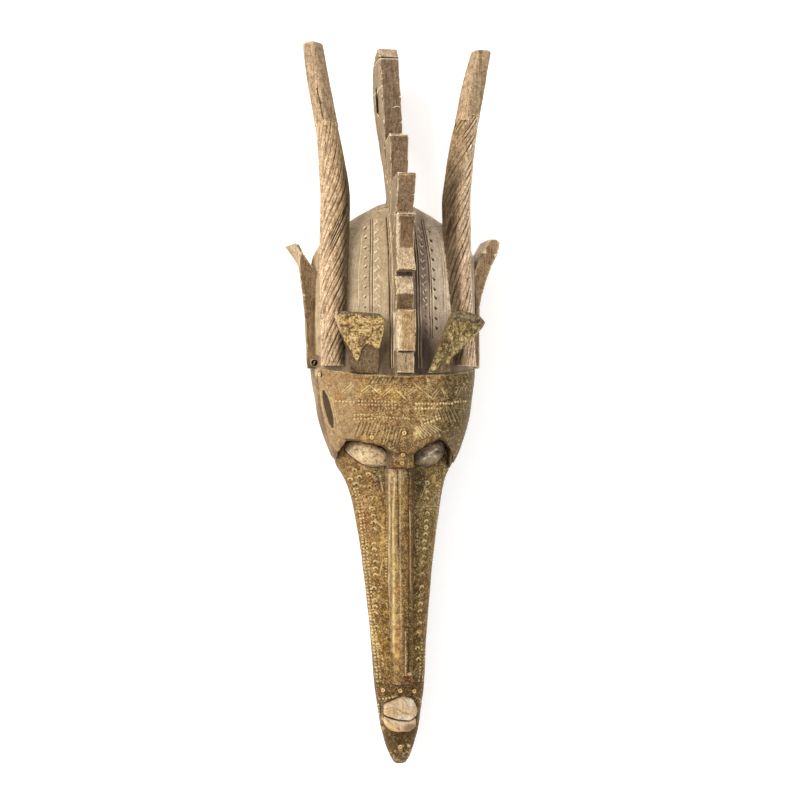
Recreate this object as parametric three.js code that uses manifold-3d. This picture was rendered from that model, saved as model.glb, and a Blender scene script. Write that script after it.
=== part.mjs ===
// A carved wooden face mask that lies on its back, dressed with thin sheets of brass.
// Millimetres. X runs across the face, +Y from the chin to the horn tips, +Z out of the face.
// The back rim lies on Z = 0, and Y = 0 is low on the forehead.
import * as THREE from 'three';
import { mergeVertices } from 'three/addons/utils/BufferGeometryUtils.js';
import Module from 'manifold-3d';

const wasm = await Module();
wasm.setup();

// Skull cap and forehead. A square of 2 makes an ellipse, and more makes a boxier section.
const CROWN = { y: 197, z: 54 };
const DOME = { startY: 20, frontZ: 104, sideY: 110 };
const HEAD = { lowY: -80, middleZ: 50, back: 110, square: 2.2, topInset: 0.4 };
const HEAD_WIDTHS = [
  [HEAD.lowY, 47], [-64, 57], [-52, 63.5], [-40, 68], [-28, 72], [-14, 75.5], [0, 77.5], [28, 81.5],
  [DOME.sideY, 84], [138, 82], [156, 73], [172, 54], [188, 28], [195, 13], [CROWN.y, 0],
];
const BROW_HEIGHTS = [
  [HEAD.lowY, 80], [-66, 92], [-55, 98], [-45, 104], [-34, 107], [-15, 108], [5, 106],
  [26, DOME.frontZ],
];

// Long face below the brow
const CHIN_Y = -364;
const FACE = { middleZ: 42, back: 66, square: 2.3 };
const FACE_WIDTHS = [
  [CHIN_Y, 4], [-360, 6.5], [-352, 10.5], [-340, 14.5], [-328, 17.8], [-304, 21.4], [-288, 23.9],
  [-240, 27], [-196, 31.2], [-160, 35], [-124, 40.2], [-100, 44.2], [-88, 47], [-76, 51.2],
  [-64, 57.5], [-52, 60], [10, 60],
];
const FACE_HEIGHTS = [
  [CHIN_Y, 44], [-356, 50], [-340, 54], [-315, 57], [-280, 58], [-240, 60], [-160, 62],
  [-120, 66], [-80, 72], [-52, 77], [10, 84],
];

// The carver's middle line wanders a little from the chin to the crown
const AXIS_DRIFT = [
  [CHIN_Y, 6.3], [-300, 5.8], [-160, 3.8], [-100, 2.4], [-60, -0.4], [-20, -1.2], [0, -1.4],
  [50, -2.4], [130, -1], [CROWN.y, 0],
];

// Hollow behind the face
const HOLLOW = { topY: 180, chinY: -338, middleZ: 20, back: 60 };
const HOLLOW_WIDTHS = [
  [HOLLOW.chinY, 3], [-318, 9], [-280, 13], [-230, 17], [-160, 22.5], [-100, 32], [-76, 39],
  [-52, 50], [-28, 58], [0, 64], [28, 67], [110, 69], [138, 65], [158, 49], [172, 29],
  [HOLLOW.topY, 6],
];
const HOLLOW_HEIGHTS = [
  [HOLLOW.chinY, 20], [-318, 38], [-280, 43], [-160, 48], [-100, 54], [-70, 62], [-45, 80],
  [-15, 90], [30, 88], [90, 82], [140, 66], [170, 44], [HOLLOW.topY, 26],
];

// Nose ridge
const NOSE = { topY: -38, endY: -281, crown: 1.2, crownShare: 0.4, baseShare: 0.6, crestShare: 0.45 };
const NOSE_BASE = [[NOSE.endY, 10.5], [-160, 12], [-60, 14.5]];
const NOSE_CREST = [[NOSE.endY, 8], [-160, 8.8], [-60, 10]];
const NOSE_RISE = [[NOSE.endY, 9], [-160, 12], [-90, 13], [-60, 10.5]];

// Comb along the middle of the head: its side outline as [Y, Z], from the forehead over the four
// hooked tines to the back of the tall rear board
const COMB_THICK = 17;
const COMB_LEAN = [
  [0, 0], [180, -0.6], [215, -1], [255, -2.6], [275, -3.7], [315, -6.3], [352, -7.4],
];
const COMB_FOOT = [[25.5, 80], [25.5, 111], [46.5, 112.5]];
const TINE_1 = [
  [46.5, 117.5], [66, 118.5], [85.5, 121.5], [87.5, 118], [86, 112], [74, 106.5], [85, 103.5],
];
const STEP_FACE = [[102.5, 110.5], [118.5, 104.5], [123, 104.5]];
const TINE_2 = [
  [123.5, 118], [126, 119.5], [136, 112.5], [147, 109.5], [160, 111], [170, 115.5], [177.5, 121],
  [179.5, 117], [177, 108], [164, 97],
];
const TINE_3 = [
  [178, 105], [196, 116], [215.5, 125.5], [217.5, 122], [213, 88], [200, 85], [187, 80],
];
const TINE_4 = [
  [203, 80], [235, 84], [257, 91], [259.5, 88], [255, 62], [235, 60.5], [216, 62],
];
const REAR_BOARD = [
  [222, 56.5], [250, 56], [275, 61], [300, 62], [320, 60.5], [341, 57.5], [341.5, 55.5],
  [350, 50], [351, 45], [347, 32], [339, 18], [328, 10.5], [312, 7.5], [294, 8], [275, 14],
  [250, 27], [225, 41], [200, 53], [180, 40],
];
const BOARD_HOLE = { y: 300, z: 31, halfLength: 13.5, halfHeight: 7.5, steps: 5 };

// Side horns as stations of [Y, X, Z, radius], with rope carving from the foot to the ring
const LEFT_HORN = {
  ringY: 272,
  squareTurn: 0.9,
  path: [
    [33, -66.3, 86, 12.6], [97, -66.3, 86, 14.2], [150, -65.2, 82, 14.8], [196, -63.8, 78, 15],
    [236, -67.4, 75, 13.2], [272, -72.2, 72, 11.2], [312, -79.4, 69.5, 10.8], [349, -84.8, 68, 9.8],
  ],
};
const RIGHT_HORN = {
  ringY: 281,
  squareTurn: 1.2,
  path: [
    [33, 63.2, 86, 13.6], [97, 58.6, 86, 14], [150, 56.8, 82, 14.4], [190, 56.6, 78, 14.6],
    [228, 60.4, 75, 13.8], [255, 64.4, 73.5, 13], [281, 69.6, 72, 12], [316, 76.8, 69.5, 11.4],
    [347.5, 84, 68, 9.8],
  ],
};
const ROPE = { strands: 9, depthShare: 0.09, twist: 0.025, rows: 18 }; // twist in radians per mm
const HORN_TIP = { mean: 0.93, corner: 0.12, overlap: 6, chamfer: 2.5, endShare: 0.72, rows: 4 };

// Ears: the outlines of their front faces as [X, Y], and how far the tip's back edge flares out
const EAR = { frontZ: 66, backZ: 24 };
const EAR_FLARING = [[31, 0], [110, 0], [155, 1]];
const LEFT_EAR = {
  flare: -7,
  outline: [
    [-70, 31], [-88, 31], [-88.8, 48], [-90, 80], [-92, 102], [-94.6, 118], [-95.6, 132],
    [-97, 143], [-101.5, 153.5], [-97.5, 153], [-92, 143], [-85, 135], [-77.5, 122], [-70, 105],
  ],
};
const RIGHT_EAR = {
  flare: 3,
  outline: [
    [66, 31], [82.6, 31], [82.6, 88], [85.5, 104], [89.4, 118], [95.6, 134], [101.5, 145],
    [104.3, 157], [100, 161], [92.5, 160.5], [85, 147], [79, 131], [72, 112], [66, 100],
  ],
};
const EAR_HOLE = { x: -82.5, y: 36.5, radius: 2.9, depth: 15, sides: 10 };
const EAR_WIRE = { radius: 1.7, wire: 0.55, sink: 1.2, wireSides: 4, sides: 9 };

// Small flaring horns on the forehead: front outlines as [X, Y], their foils, and the height of
// the front at the foot and at the lip
const STUMP = { thick: 15, footY: 25, lipY: 85 };
const STUMPS = {
  left: {
    foot: 104,
    lip: 117,
    outline: [
      [-53, 26.5], [-26, 25.5], [-24, 50], [-20, 73], [-24.5, 82.5], [-67, 85.5], [-68, 79],
      [-58.5, 56], [-53.5, 42],
    ],
    foil: [
      [-50.5, 45], [-41.5, 40], [-36.5, 46], [-31, 53], [-25.2, 49], [-21.6, 72.8], [-25.6, 81.2],
      [-65.8, 84], [-66.4, 79], [-57, 56],
    ],
  },
  right: {
    foot: 103,
    lip: 116,
    outline: [
      [22.5, 25.5], [46, 26.5], [48.5, 42], [53, 45], [65, 57.5], [76, 70], [78.5, 75],
      [72.5, 81.5], [53, 87], [45.5, 84], [30.5, 46],
    ],
    foil: [
      [24.8, 29], [33, 31], [38, 37], [43, 34.5], [47, 42.4], [52, 46.6], [64, 58.8], [74.6, 70.4],
      [77, 75], [71.8, 80.2], [53, 85.6], [46.7, 83.2], [32, 46.4],
    ],
  },
};

// Lower edge of the forehead as [X, Y], from the left side over the nose root to the right side,
// and the other edges of its brass band
const NOSE_ROOT_Y = -66;
const BROW_LINE = [
  [-95, -95], [-60.5, -66], [-60, -50.5], [-54, -38.8], [-42, -39.3], [-29.8, -41.9],
  [-19.4, -45.2], [-11, -51], [-10.5, NOSE_ROOT_Y], [11, NOSE_ROOT_Y], [10, -51.5], [22, -42.5],
  [35.8, -37.3], [43, -40.5], [49.5, -48.5], [52, -66], [90, -95],
];
const BAND_RIGHT_EDGE = [[56, -62], [66, -50], [86, -20]];
const BAND_TOP_LINE = [
  [86, 30], [70, 27], [42, 22.8], [0, 21.4], [-42, 22.8], [-74, 28], [-79, 29],
];
const BAND_LEFT_EDGE = [[-77, 0], [-71, -28], [-62, -49]];

// Brass sheets: gaps, thickness, and where their edges stop
const SHEET = { gap: 0.4, thick: 1, browLap: 2.5, sideInset: 0.3, noseInset: 0.25, ridgeInset: 0.12 };
const CHEEK_TOP_Y = -60;
const NOSE_SHEET_TOP_Y = NOSE_ROOT_Y - 1;
const CHIN_SHEET = { gapY: 1, endInset: 2, sideInset: 0.6 };

// Eyes, mouth and nails
const EYES = {
  left: { x: -34.5, y: -55.5, length: 20, height: 10.5, tilt: -0.28 },
  right: { x: 30.5, y: -53.5, length: 17.5, height: 11.5, tilt: 0.45 },
};
const EYE_COVER = {
  gap: 0.6, edge: 0.6, bulge: 8, round: 0.99, sides: 14, shares: [1, 0.86, 0.55], margin: 1.5,
};
const LIPS = {
  floorZ: 40,
  edge: 2.2,
  upperTop: 66.5,
  lowerTop: 64,
  upper: [
    [-13.2, -305], [-2, -298.5], [6.5, -293.5], [16.5, -296.5], [20.5, -306], [19.5, -313],
    [13, -317.5], [1, -316], [-12.5, -311.5],
  ],
  lower: [
    [-12.5, -313], [1, -317.5], [13, -319], [19.5, -315], [19.5, -323], [14, -328.5],
    [0, -328.5], [-7, -326.5], [-12, -321],
  ],
};
const MOUTH_HOLE = { x: 3.5, y: -312, margin: 1.2, upperPoints: 6, firstLowerPoint: 4 };
const TACK = { radius: 2.4, rise: 1.5, shoulder: 0.8, shoulderRise: 0.7, gap: 0.45, sides: 8 };
const TACKS = [
  ['tack_forehead_middle', -1, -31.5], ['tack_forehead_left', -31, -35.5],
  ['tack_nose_root_upper', -1, -51.5], ['tack_nose_root_lower', -1, -60],
  ['tack_mouth_left', -11.5, -287.5], ['tack_mouth_middle', 3.8, -288],
  ['tack_mouth_right', 17.5, -289], ['tack_chin', 4.6, -344], ['tack_band_left', -76.6, 25],
];

// How finely the round forms are cut
const HEAD_AROUND = 36;
const HOLLOW_AROUND = 22;
const CHEEK_STEPS = 6;
const BACK_STEPS = 5;
const SLOPE_REACH = 1.5;
const FAR = 400;

// Smooth curve through [position, value] stations, without overshoot
function along(stations) {
  const last = stations.length - 1;
  const slope = (i) => (stations[i + 1][1] - stations[i][1]) / (stations[i + 1][0] - stations[i][0]);
  const tangents = stations.map((_, i) => {
    if (i === 0 || i === last) return slope(Math.min(i, last - 1));
    const [before, after] = [slope(i - 1), slope(i)];
    return before * after <= 0 ? 0 : (2 * before * after) / (before + after);
  });
  return (at) => {
    const inside = THREE.MathUtils.clamp(at, stations[0][0], stations[last][0]);
    let i = 0;
    while (i < last - 1 && inside > stations[i + 1][0]) i += 1;
    const span = stations[i + 1][0] - stations[i][0];
    const t = (inside - stations[i][0]) / span;
    const [t2, t3] = [t * t, t * t * t];
    return (2 * t3 - 3 * t2 + 1) * stations[i][1] + (t3 - 2 * t2 + t) * span * tangents[i]
      + (3 * t2 - 2 * t3) * stations[i + 1][1] + (t3 - t2) * span * tangents[i + 1];
  };
}

const axisX = along(AXIS_DRIFT);
const headWidth = along(HEAD_WIDTHS);
const browHeight = along(BROW_HEIGHTS);
const faceWidth = along(FACE_WIDTHS);
const faceHeight = along(FACE_HEIGHTS);
const noseBase = along(NOSE_BASE);
const noseCrest = along(NOSE_CREST);
const noseRise = along(NOSE_RISE);
const combLean = along(COMB_LEAN);

// Evenly spread values, or closer together at the far end where the ease is over 1
function spread(from, to, count, ease = 1) {
  const share = (i) => 1 - (1 - i / (count - 1)) ** ease;
  return Array.from({ length: count }, (_, i) => from + (to - from) * share(i));
}

function signedPower(value, exponent) {
  return Math.sign(value) * Math.abs(value) ** exponent;
}

function meshOf(positions, triangles) {
  const geometry = new THREE.BufferGeometry();
  geometry.setAttribute('position', new THREE.Float32BufferAttribute(positions.flat(), 3));
  geometry.setIndex(triangles);
  return geometry;
}

// Closed mesh over rings of [x, y, z] points that run from low Y to high Y
function loft(rings) {
  const count = rings[0].length;
  const end = (rings.length - 1) * count;
  const middle = (ring) => [0, 1, 2].map((k) => ring.reduce((sum, point) => sum + point[k], 0) / count);
  const positions = rings.flat();
  const low = positions.push(middle(rings[0])) - 1;
  const high = positions.push(middle(rings.at(-1))) - 1;
  const triangles = [];
  for (let j = 0; j < count; j += 1) {
    const next = (j + 1) % count;
    triangles.push(low, j, next, high, end + next, end + j);
    for (let row = 0; row < end; row += count) {
      const [a, b] = [row + j, row + next];
      triangles.push(a, a + count, b, b, a + count, b + count);
    }
  }
  return meshOf(positions, triangles);
}

// Closed slab between two grids of points, the second one under the first
function slab(outer, inner) {
  const [rows, count] = [outer.length, outer[0].length];
  const top = (i, j) => i * count + j;
  const under = (i, j) => (rows + i) * count + j;
  const triangles = [];
  const quad = (a, b, c, d) => triangles.push(a, b, c, b, d, c);
  for (let i = 0; i < rows - 1; i += 1) {
    for (let j = 0; j < count - 1; j += 1) {
      quad(top(i, j), top(i + 1, j), top(i, j + 1), top(i + 1, j + 1));
      quad(under(i, j), under(i, j + 1), under(i + 1, j), under(i + 1, j + 1));
    }
    quad(top(i, 0), under(i, 0), top(i + 1, 0), under(i + 1, 0));
    quad(top(i, count - 1), top(i + 1, count - 1), under(i, count - 1), under(i + 1, count - 1));
  }
  for (let j = 0; j < count - 1; j += 1) {
    quad(top(0, j), top(0, j + 1), under(0, j), under(0, j + 1));
    quad(top(rows - 1, j), under(rows - 1, j), top(rows - 1, j + 1), under(rows - 1, j + 1));
  }
  return meshOf([...outer.flat(), ...inner.flat()], triangles);
}

function shapeOf(outline) {
  return new THREE.Shape(outline.map(([x, y]) => new THREE.Vector2(x, y)));
}

// Flat outline of [x, y] points, extruded from one height to another
function plate(outline, low, high) {
  const extrusion = { depth: high - low, bevelEnabled: false };
  return new THREE.ExtrudeGeometry(shapeOf(outline), extrusion).translate(0, 0, low);
}

// Geometry with each of its points changed in place
function reshaped(geometry, change) {
  const place = geometry.attributes.position;
  const point = new THREE.Vector3();
  for (let i = 0; i < place.count; i += 1) {
    change(point.fromBufferAttribute(place, i));
    place.setXYZ(i, point.x, point.y, point.z);
  }
  return geometry;
}

function solid(geometry) {
  const bare = geometry.clone();
  bare.deleteAttribute('normal');
  bare.deleteAttribute('uv');
  const merged = mergeVertices(bare, 1e-3);
  return new wasm.Manifold(new wasm.Mesh({
    numProp: 3,
    vertProperties: merged.attributes.position.array,
    triVerts: new Uint32Array(merged.index.array),
  }));
}

function geometryOf(body) {
  const mesh = body.getMesh();
  const positions = Float32Array.from(mesh.vertProperties);
  const geometry = new THREE.BufferGeometry();
  geometry.setAttribute('position', new THREE.BufferAttribute(positions, 3));
  geometry.setIndex(new THREE.BufferAttribute(Uint32Array.from(mesh.triVerts), 1));
  return geometry;
}

// Head: skull cap and forehead, an egg that the back rim cuts off
function headFront(y) {
  if (y < DOME.startY) return browHeight(y);
  const rise = (y - DOME.startY) / (CROWN.y - DOME.startY);
  return CROWN.z + (DOME.frontZ - CROWN.z) * Math.sqrt(Math.max(0, 1 - rise * rise));
}

function headBack(y) {
  const rise = Math.max(0, (y - DOME.sideY) / (CROWN.y - DOME.sideY));
  return HEAD.back * Math.sqrt(Math.max(0, 1 - rise * rise));
}

function headRing(y) {
  return Array.from({ length: HEAD_AROUND }, (_, i) => {
    const turn = (2 * Math.PI * i) / HEAD_AROUND;
    const reach = Math.sin(turn) > 0 ? headFront(y) - HEAD.middleZ : headBack(y);
    return [
      axisX(y) + headWidth(y) * signedPower(Math.cos(turn), 2 / HEAD.square),
      y,
      HEAD.middleZ + reach * signedPower(Math.sin(turn), 2 / HEAD.square),
    ];
  });
}

const headRings = [
  ...spread(HEAD.lowY, 28, 10), ...spread(28, CROWN.y - HEAD.topInset, 11, 1.7).slice(1),
].map(headRing);

// Front half of a head section, from the right side over the forehead to the left side
function headLine(ring) {
  return ring.slice(0, HEAD_AROUND / 2 + 1);
}

// Face: height of the cheeks' rounded front at a place across it
function cheekHeight(x, y) {
  const across = Math.min(1, Math.abs(x - axisX(y)) / faceWidth(y));
  const share = (1 - across ** FACE.square) ** (1 / FACE.square);
  return FACE.middleZ + (faceHeight(y) - FACE.middleZ) * share;
}

// One section of the face: right cheek, nose, left cheek, then round the back
const FRONT_POINTS = 2 * (CHEEK_STEPS + 3);

function faceRing(y) {
  const width = faceWidth(y);
  const base = Math.min(noseBase(y), width * NOSE.baseShare);
  const crest = Math.min(noseCrest(y), width * NOSE.crestShare);
  const onNose = y > NOSE.endY && y < NOSE.topY;
  const corner = Math.acos((base / width) ** (FACE.square / 2));
  const cheek = Array.from({ length: CHEEK_STEPS + 1 }, (_, i) => {
    const x = width * Math.cos((corner * i) / CHEEK_STEPS) ** (2 / FACE.square);
    return [x, cheekHeight(axisX(y) + x, y)];
  });
  const ridge = [[crest, 0], [crest * NOSE.crownShare, NOSE.crown]].map(([x, crown]) => {
    const lift = onNose ? noseRise(y) + crown : 0;
    return [x, cheekHeight(axisX(y) + x, y) + lift];
  });
  const back = Array.from({ length: BACK_STEPS }, (_, i) => {
    const turn = Math.PI + (Math.PI * (i + 1)) / (BACK_STEPS + 1);
    return [width * Math.cos(turn), FACE.middleZ + FACE.back * Math.sin(turn)];
  });
  const front = [...cheek, ...ridge];
  const mirrored = front.map(([x, z]) => [-x, z]).reverse();
  return [...front, ...mirrored, ...back].map(([x, z]) => [axisX(y) + x, y, z]);
}

const faceRings = [
  ...spread(CHIN_Y, -300, 7, 0.7), -291, NOSE.endY - 2, NOSE.endY + 0.5, ...spread(-270, -100, 9),
  -88, -77, NOSE_SHEET_TOP_Y, CHEEK_TOP_Y, -52, -38, 6,
].map(faceRing);

function hollow() {
  const width = along(HOLLOW_WIDTHS);
  const height = along(HOLLOW_HEIGHTS);
  const rows = [...spread(HOLLOW.chinY, -60, 9), ...spread(-40, HOLLOW.topY, 11, 1.3)];
  return solid(loft(rows.map((y) => Array.from({ length: HOLLOW_AROUND }, (_, i) => {
    const turn = (2 * Math.PI * i) / HOLLOW_AROUND;
    const reach = Math.sin(turn) > 0 ? height(y) - HOLLOW.middleZ : HOLLOW.back;
    return [axisX(y) + width(y) * Math.cos(turn), y, HOLLOW.middleZ + reach * Math.sin(turn)];
  }))));
}

// Everything above the brow line in front view, or above that line dropped by a distance
function aboveBrow(drop = 0) {
  const line = BROW_LINE.map(([x, y]) => [x, y - drop]);
  return solid(plate([...line, [FAR, FAR], [-FAR, FAR]], -FAR, FAR));
}

function comb() {
  const shape = shapeOf([
    ...COMB_FOOT, ...TINE_1, ...STEP_FACE, ...TINE_2, ...TINE_3, ...TINE_4, ...REAR_BOARD,
  ]);
  const { y: holeY, z: holeZ, halfLength, halfHeight, steps } = BOARD_HOLE;
  shape.holes.push(new THREE.Path().absellipse(holeY, holeZ, halfLength, halfHeight, 0, 2 * Math.PI));
  const extrusion = { depth: COMB_THICK, bevelEnabled: false, curveSegments: steps };
  return solid(reshaped(new THREE.ExtrudeGeometry(shape, extrusion), (point) => {
    const [y, z, across] = [point.x, point.y, point.z];
    point.set(across - COMB_THICK / 2 + combLean(y), y, z);
  }));
}

// Horn with twisted strands below the ring, and a squarer plain tip above it
function sideHorn({ ringY, squareTurn, path }) {
  const curveOf = (column) => along(path.map((station) => [station[0], station[column]]));
  const [x, z, radius] = [1, 2, 3].map(curveOf);
  const [footY, tipY] = [path[0][0], path.at(-1)[0]];
  const section = (y, placeY, shape) => Array.from({ length: ROPE.strands * 2 }, (_, i) => {
    const [share, turn] = shape(i, (Math.PI * i) / ROPE.strands);
    const reach = radius(y) * share;
    return [x(y) + reach * Math.cos(turn), placeY, z(y) + reach * Math.sin(turn)];
  });
  const strand = (y) => section(y, y, (i, turn) => (
    [i % 2 ? 1 - 2 * ROPE.depthShare : 1, turn - ROPE.twist * (y - footY)]
  ));
  const plain = (y, share = 1, placeY = y) => section(y, placeY, (i, turn) => (
    [share * (HORN_TIP.mean - HORN_TIP.corner * Math.cos(4 * (turn - squareTurn))), turn]
  ));
  const shoulderY = tipY - HORN_TIP.chamfer;
  const tipRows = [ringY - HORN_TIP.overlap, ...spread(ringY, shoulderY, HORN_TIP.rows)];
  const tip = [...tipRows.map((y) => plain(y)), plain(shoulderY, HORN_TIP.endShare, tipY)];
  return solid(loft(spread(footY, ringY, ROPE.rows).map(strand))).add(solid(loft(tip)));
}

function ear({ outline, flare }) {
  const flaring = along(EAR_FLARING);
  return solid(reshaped(plate(outline, EAR.backZ, EAR.frontZ), (point) => {
    if (point.z < EAR.frontZ) point.x += flare * flaring(point.y);
  }));
}

function earHole() {
  const { x, y, radius, depth, sides } = EAR_HOLE;
  const hole = new THREE.CylinderGeometry(radius, radius, 2 * depth, sides);
  return solid(hole.rotateX(Math.PI / 2).translate(x, y, EAR.frontZ));
}

// Plate whose heights are counted from the sloping front of a forehead horn
function stumpPlate(outline, { foot, lip }, low, high) {
  return solid(reshaped(plate(outline, low, high), (point) => {
    point.z += foot + ((lip - foot) * (point.y - STUMP.footY)) / (STUMP.lipY - STUMP.footY);
  }));
}

function lip(outline, top) {
  const { floorZ, edge } = LIPS;
  const bevel = { bevelThickness: edge, bevelSize: edge, bevelOffset: -edge, bevelSegments: 1 };
  const extrusion = { depth: top - floorZ - edge, ...bevel };
  return solid(new THREE.ExtrudeGeometry(shapeOf(outline), extrusion).translate(0, 0, floorZ));
}

function woodCarving() {
  const aboveRim = solid(plate([[-FAR, -FAR], [FAR, -FAR], [FAR, FAR], [-FAR, FAR]], 0, FAR));
  return solid(loft(headRings)).intersect(aboveBrow())
    .add(solid(loft(faceRings)))
    .add(comb())
    .add(sideHorn(LEFT_HORN))
    .add(sideHorn(RIGHT_HORN))
    .add(ear(LEFT_EAR))
    .add(ear(RIGHT_EAR))
    .add(stumpPlate(STUMPS.left.outline, STUMPS.left, -STUMP.thick, 0))
    .add(stumpPlate(STUMPS.right.outline, STUMPS.right, -STUMP.thick, 0))
    .add(lip(LIPS.upper, LIPS.upperTop))
    .add(lip(LIPS.lower, LIPS.lowerTop))
    .subtract(hollow())
    .subtract(earHole())
    .intersect(aboveRim);
}

// Front line of a section, pushed outward by a distance
function pushed(line, distance) {
  const normalOf = (from, to) => new THREE.Vector2(to[2] - from[2], from[0] - to[0]).normalize();
  return line.map((point, i) => {
    const before = line[i - 1] ? normalOf(line[i - 1], point) : normalOf(point, line[i + 1]);
    const after = line[i + 1] ? normalOf(point, line[i + 1]) : before;
    const mean = before.clone().add(after).normalize();
    const reach = distance / mean.dot(after);
    return [point[0] + mean.x * reach, point[1], point[2] + mean.y * reach];
  });
}

// Point at a place along a line, in steps of its points
function pointOn(line, place) {
  const i = Math.min(Math.floor(place), line.length - 2);
  return [0, 1, 2].map((k) => THREE.MathUtils.lerp(line[i][k], line[i + 1][k], place - i));
}

// Thin sheet over part of some front lines, between two places along them
function sheetOver(lines, from, to) {
  const between = Array.from({ length: Math.ceil(to) }, (_, i) => i).filter((i) => i > from);
  const places = [from, ...between, to];
  const grid = (distance) => lines.map((line) => {
    const outside = pushed(line, distance);
    return places.map((place) => pointOn(outside, place));
  });
  return solid(slab(grid(SHEET.gap + SHEET.thick), grid(SHEET.gap)));
}

function foreheadSheet() {
  const lines = headRings.filter(([[, y]]) => y < 45).map(headLine);
  const region = [
    ...BROW_LINE.slice(2, -2), ...BAND_RIGHT_EDGE, ...BAND_TOP_LINE, ...BAND_LEFT_EDGE,
  ];
  return sheetOver(lines, 0, HEAD_AROUND / 2).intersect(solid(plate(region, 0, FAR)));
}

function faceSheet(lowY, highY, from, to) {
  const rings = faceRings.filter(([[, y]]) => y >= lowY && y <= highY);
  return sheetOver(rings.map((ring) => ring.slice(0, FRONT_POINTS)), from, to);
}

function eyeOutline({ x, y, length, height, tilt }, margin = 0) {
  return Array.from({ length: EYE_COVER.sides }, (_, i) => {
    const turn = (2 * Math.PI * i) / EYE_COVER.sides;
    const [forward, across] = [(length + margin) * Math.cos(turn), (height + margin) * Math.sin(turn)];
    return [
      x + forward * Math.cos(tilt) - across * Math.sin(tilt),
      y + forward * Math.sin(tilt) + across * Math.cos(tilt),
    ];
  });
}

function cheekSheet(side) {
  const edges = [SHEET.sideInset, CHEEK_STEPS - SHEET.noseInset];
  const [from, to] = side === 'right' ? edges : edges.map((place) => FRONT_POINTS - 1 - place).reverse();
  const eye = solid(plate(eyeOutline(EYES[side], EYE_COVER.margin), 0, FAR));
  return faceSheet(NOSE.endY, CHEEK_TOP_Y, from, to).subtract(eye).subtract(aboveBrow(SHEET.browLap));
}

function noseSheet() {
  const from = CHEEK_STEPS + SHEET.ridgeInset;
  return faceSheet(NOSE.endY, NOSE_SHEET_TOP_Y, from, FRONT_POINTS - 1 - from);
}

function chinSheet() {
  const { x: middleX, y: middleY, margin, upperPoints, firstLowerPoint } = MOUTH_HOLE;
  const rim = [...LIPS.upper.slice(0, upperPoints), ...LIPS.lower.slice(firstLowerPoint)];
  const opening = rim.map(([x, y]) => (
    [x + Math.sign(x - middleX) * margin, y + Math.sign(y - middleY) * margin]
  ));
  const { endInset, gapY, sideInset: from } = CHIN_SHEET;
  return faceSheet(CHIN_Y + endInset, NOSE.endY - gapY, from, FRONT_POINTS - 1 - from)
    .subtract(solid(plate(opening, 0, FAR)));
}

// Bulging cover that follows the surface under it
function eyeCover(eye) {
  const { gap, edge, bulge, round, shares } = EYE_COVER;
  const rim = eyeOutline(eye);
  const count = rim.length;
  const layer = (share, lift) => rim.map(([rimX, rimY]) => {
    const [x, y] = [eye.x + (rimX - eye.x) * share, eye.y + (rimY - eye.y) * share];
    return [x, y, cheekHeight(x, y) + gap + lift];
  });
  const under = [shares.at(-1), 1].map((share) => layer(share, 0));
  const over = shares.map((share) => layer(share, edge + bulge * Math.sqrt(1 - round * share ** 2)));
  const stack = [...under, ...over];
  const positions = stack.flat();
  const floorZ = cheekHeight(eye.x, eye.y) + gap;
  const floor = positions.push([eye.x, eye.y, floorZ]) - 1;
  const peak = positions.push([eye.x, eye.y, floorZ + edge + bulge]) - 1;
  const end = (stack.length - 1) * count;
  const triangles = [];
  for (let j = 0; j < count; j += 1) {
    const next = (j + 1) % count;
    triangles.push(floor, next, j, peak, end + j, end + next);
    for (let row = 0; row < end; row += count) {
      const [a, b] = [row + j, row + next];
      triangles.push(a, b, a + count, b, b + count, a + count);
    }
  }
  return solid(meshOf(positions, triangles)).subtract(aboveBrow(gap));
}

// Height of the sheets' outer side
function sheetTop(x, y) {
  const line = y > NOSE_ROOT_Y ? headLine(headRing(y)) : faceRing(y).slice(0, FRONT_POINTS);
  const outside = pushed(line, SHEET.gap + SHEET.thick);
  const i = outside.findIndex((point) => point[0] <= x);
  const t = (x - outside[i - 1][0]) / (outside[i][0] - outside[i - 1][0]);
  return THREE.MathUtils.lerp(outside[i - 1][2], outside[i][2], t);
}

// Domed nail head, set square to the sheet under it
function tack(x, y) {
  const { radius, rise, shoulder, shoulderRise, gap, sides } = TACK;
  const slopeX = (sheetTop(x + SLOPE_REACH, y) - sheetTop(x - SLOPE_REACH, y)) / (2 * SLOPE_REACH);
  const slopeY = (sheetTop(x, y + SLOPE_REACH) - sheetTop(x, y - SLOPE_REACH)) / (2 * SLOPE_REACH);
  const normal = new THREE.Vector3(-slopeX, -slopeY, 1).normalize();
  const profile = [[0, 0], [radius, 0], [radius * shoulder, rise * shoulderRise], [0, rise]];
  const head = new THREE.LatheGeometry(profile.map(([r, h]) => new THREE.Vector2(r, h)), sides);
  head.applyQuaternion(new THREE.Quaternion().setFromUnitVectors(new THREE.Vector3(0, 1, 0), normal));
  const place = new THREE.Vector3(x, y, sheetTop(x, y)).addScaledVector(normal, gap);
  return solid(head.translate(place.x, place.y, place.z));
}

// Curl of metal that sits in the hole of the left ear
function earWire() {
  const { radius, wire, sink, wireSides, sides } = EAR_WIRE;
  const curl = new THREE.TorusGeometry(radius, wire, wireSides, sides);
  return solid(curl.translate(EAR_HOLE.x, EAR_HOLE.y, EAR.frontZ - sink));
}

function finish(color, roughness, metalness) {
  return new THREE.MeshStandardMaterial({ color, roughness, metalness });
}

const wood = finish(0x7d6347, 0.82, 0);
const oliveBrass = finish(0x7d6236, 0.5, 0.8);
const redBrass = finish(0x84603c, 0.5, 0.8);
const brightBrass = finish(0xb08f4a, 0.4, 0.9);
const foilBrass = finish(0x8d7a40, 0.45, 0.85);
const paleMetal = finish(0xa89a80, 0.45, 0.7);
const darkIron = finish(0x3a3530, 0.6, 0.8);

const mask = new THREE.Group();

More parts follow.
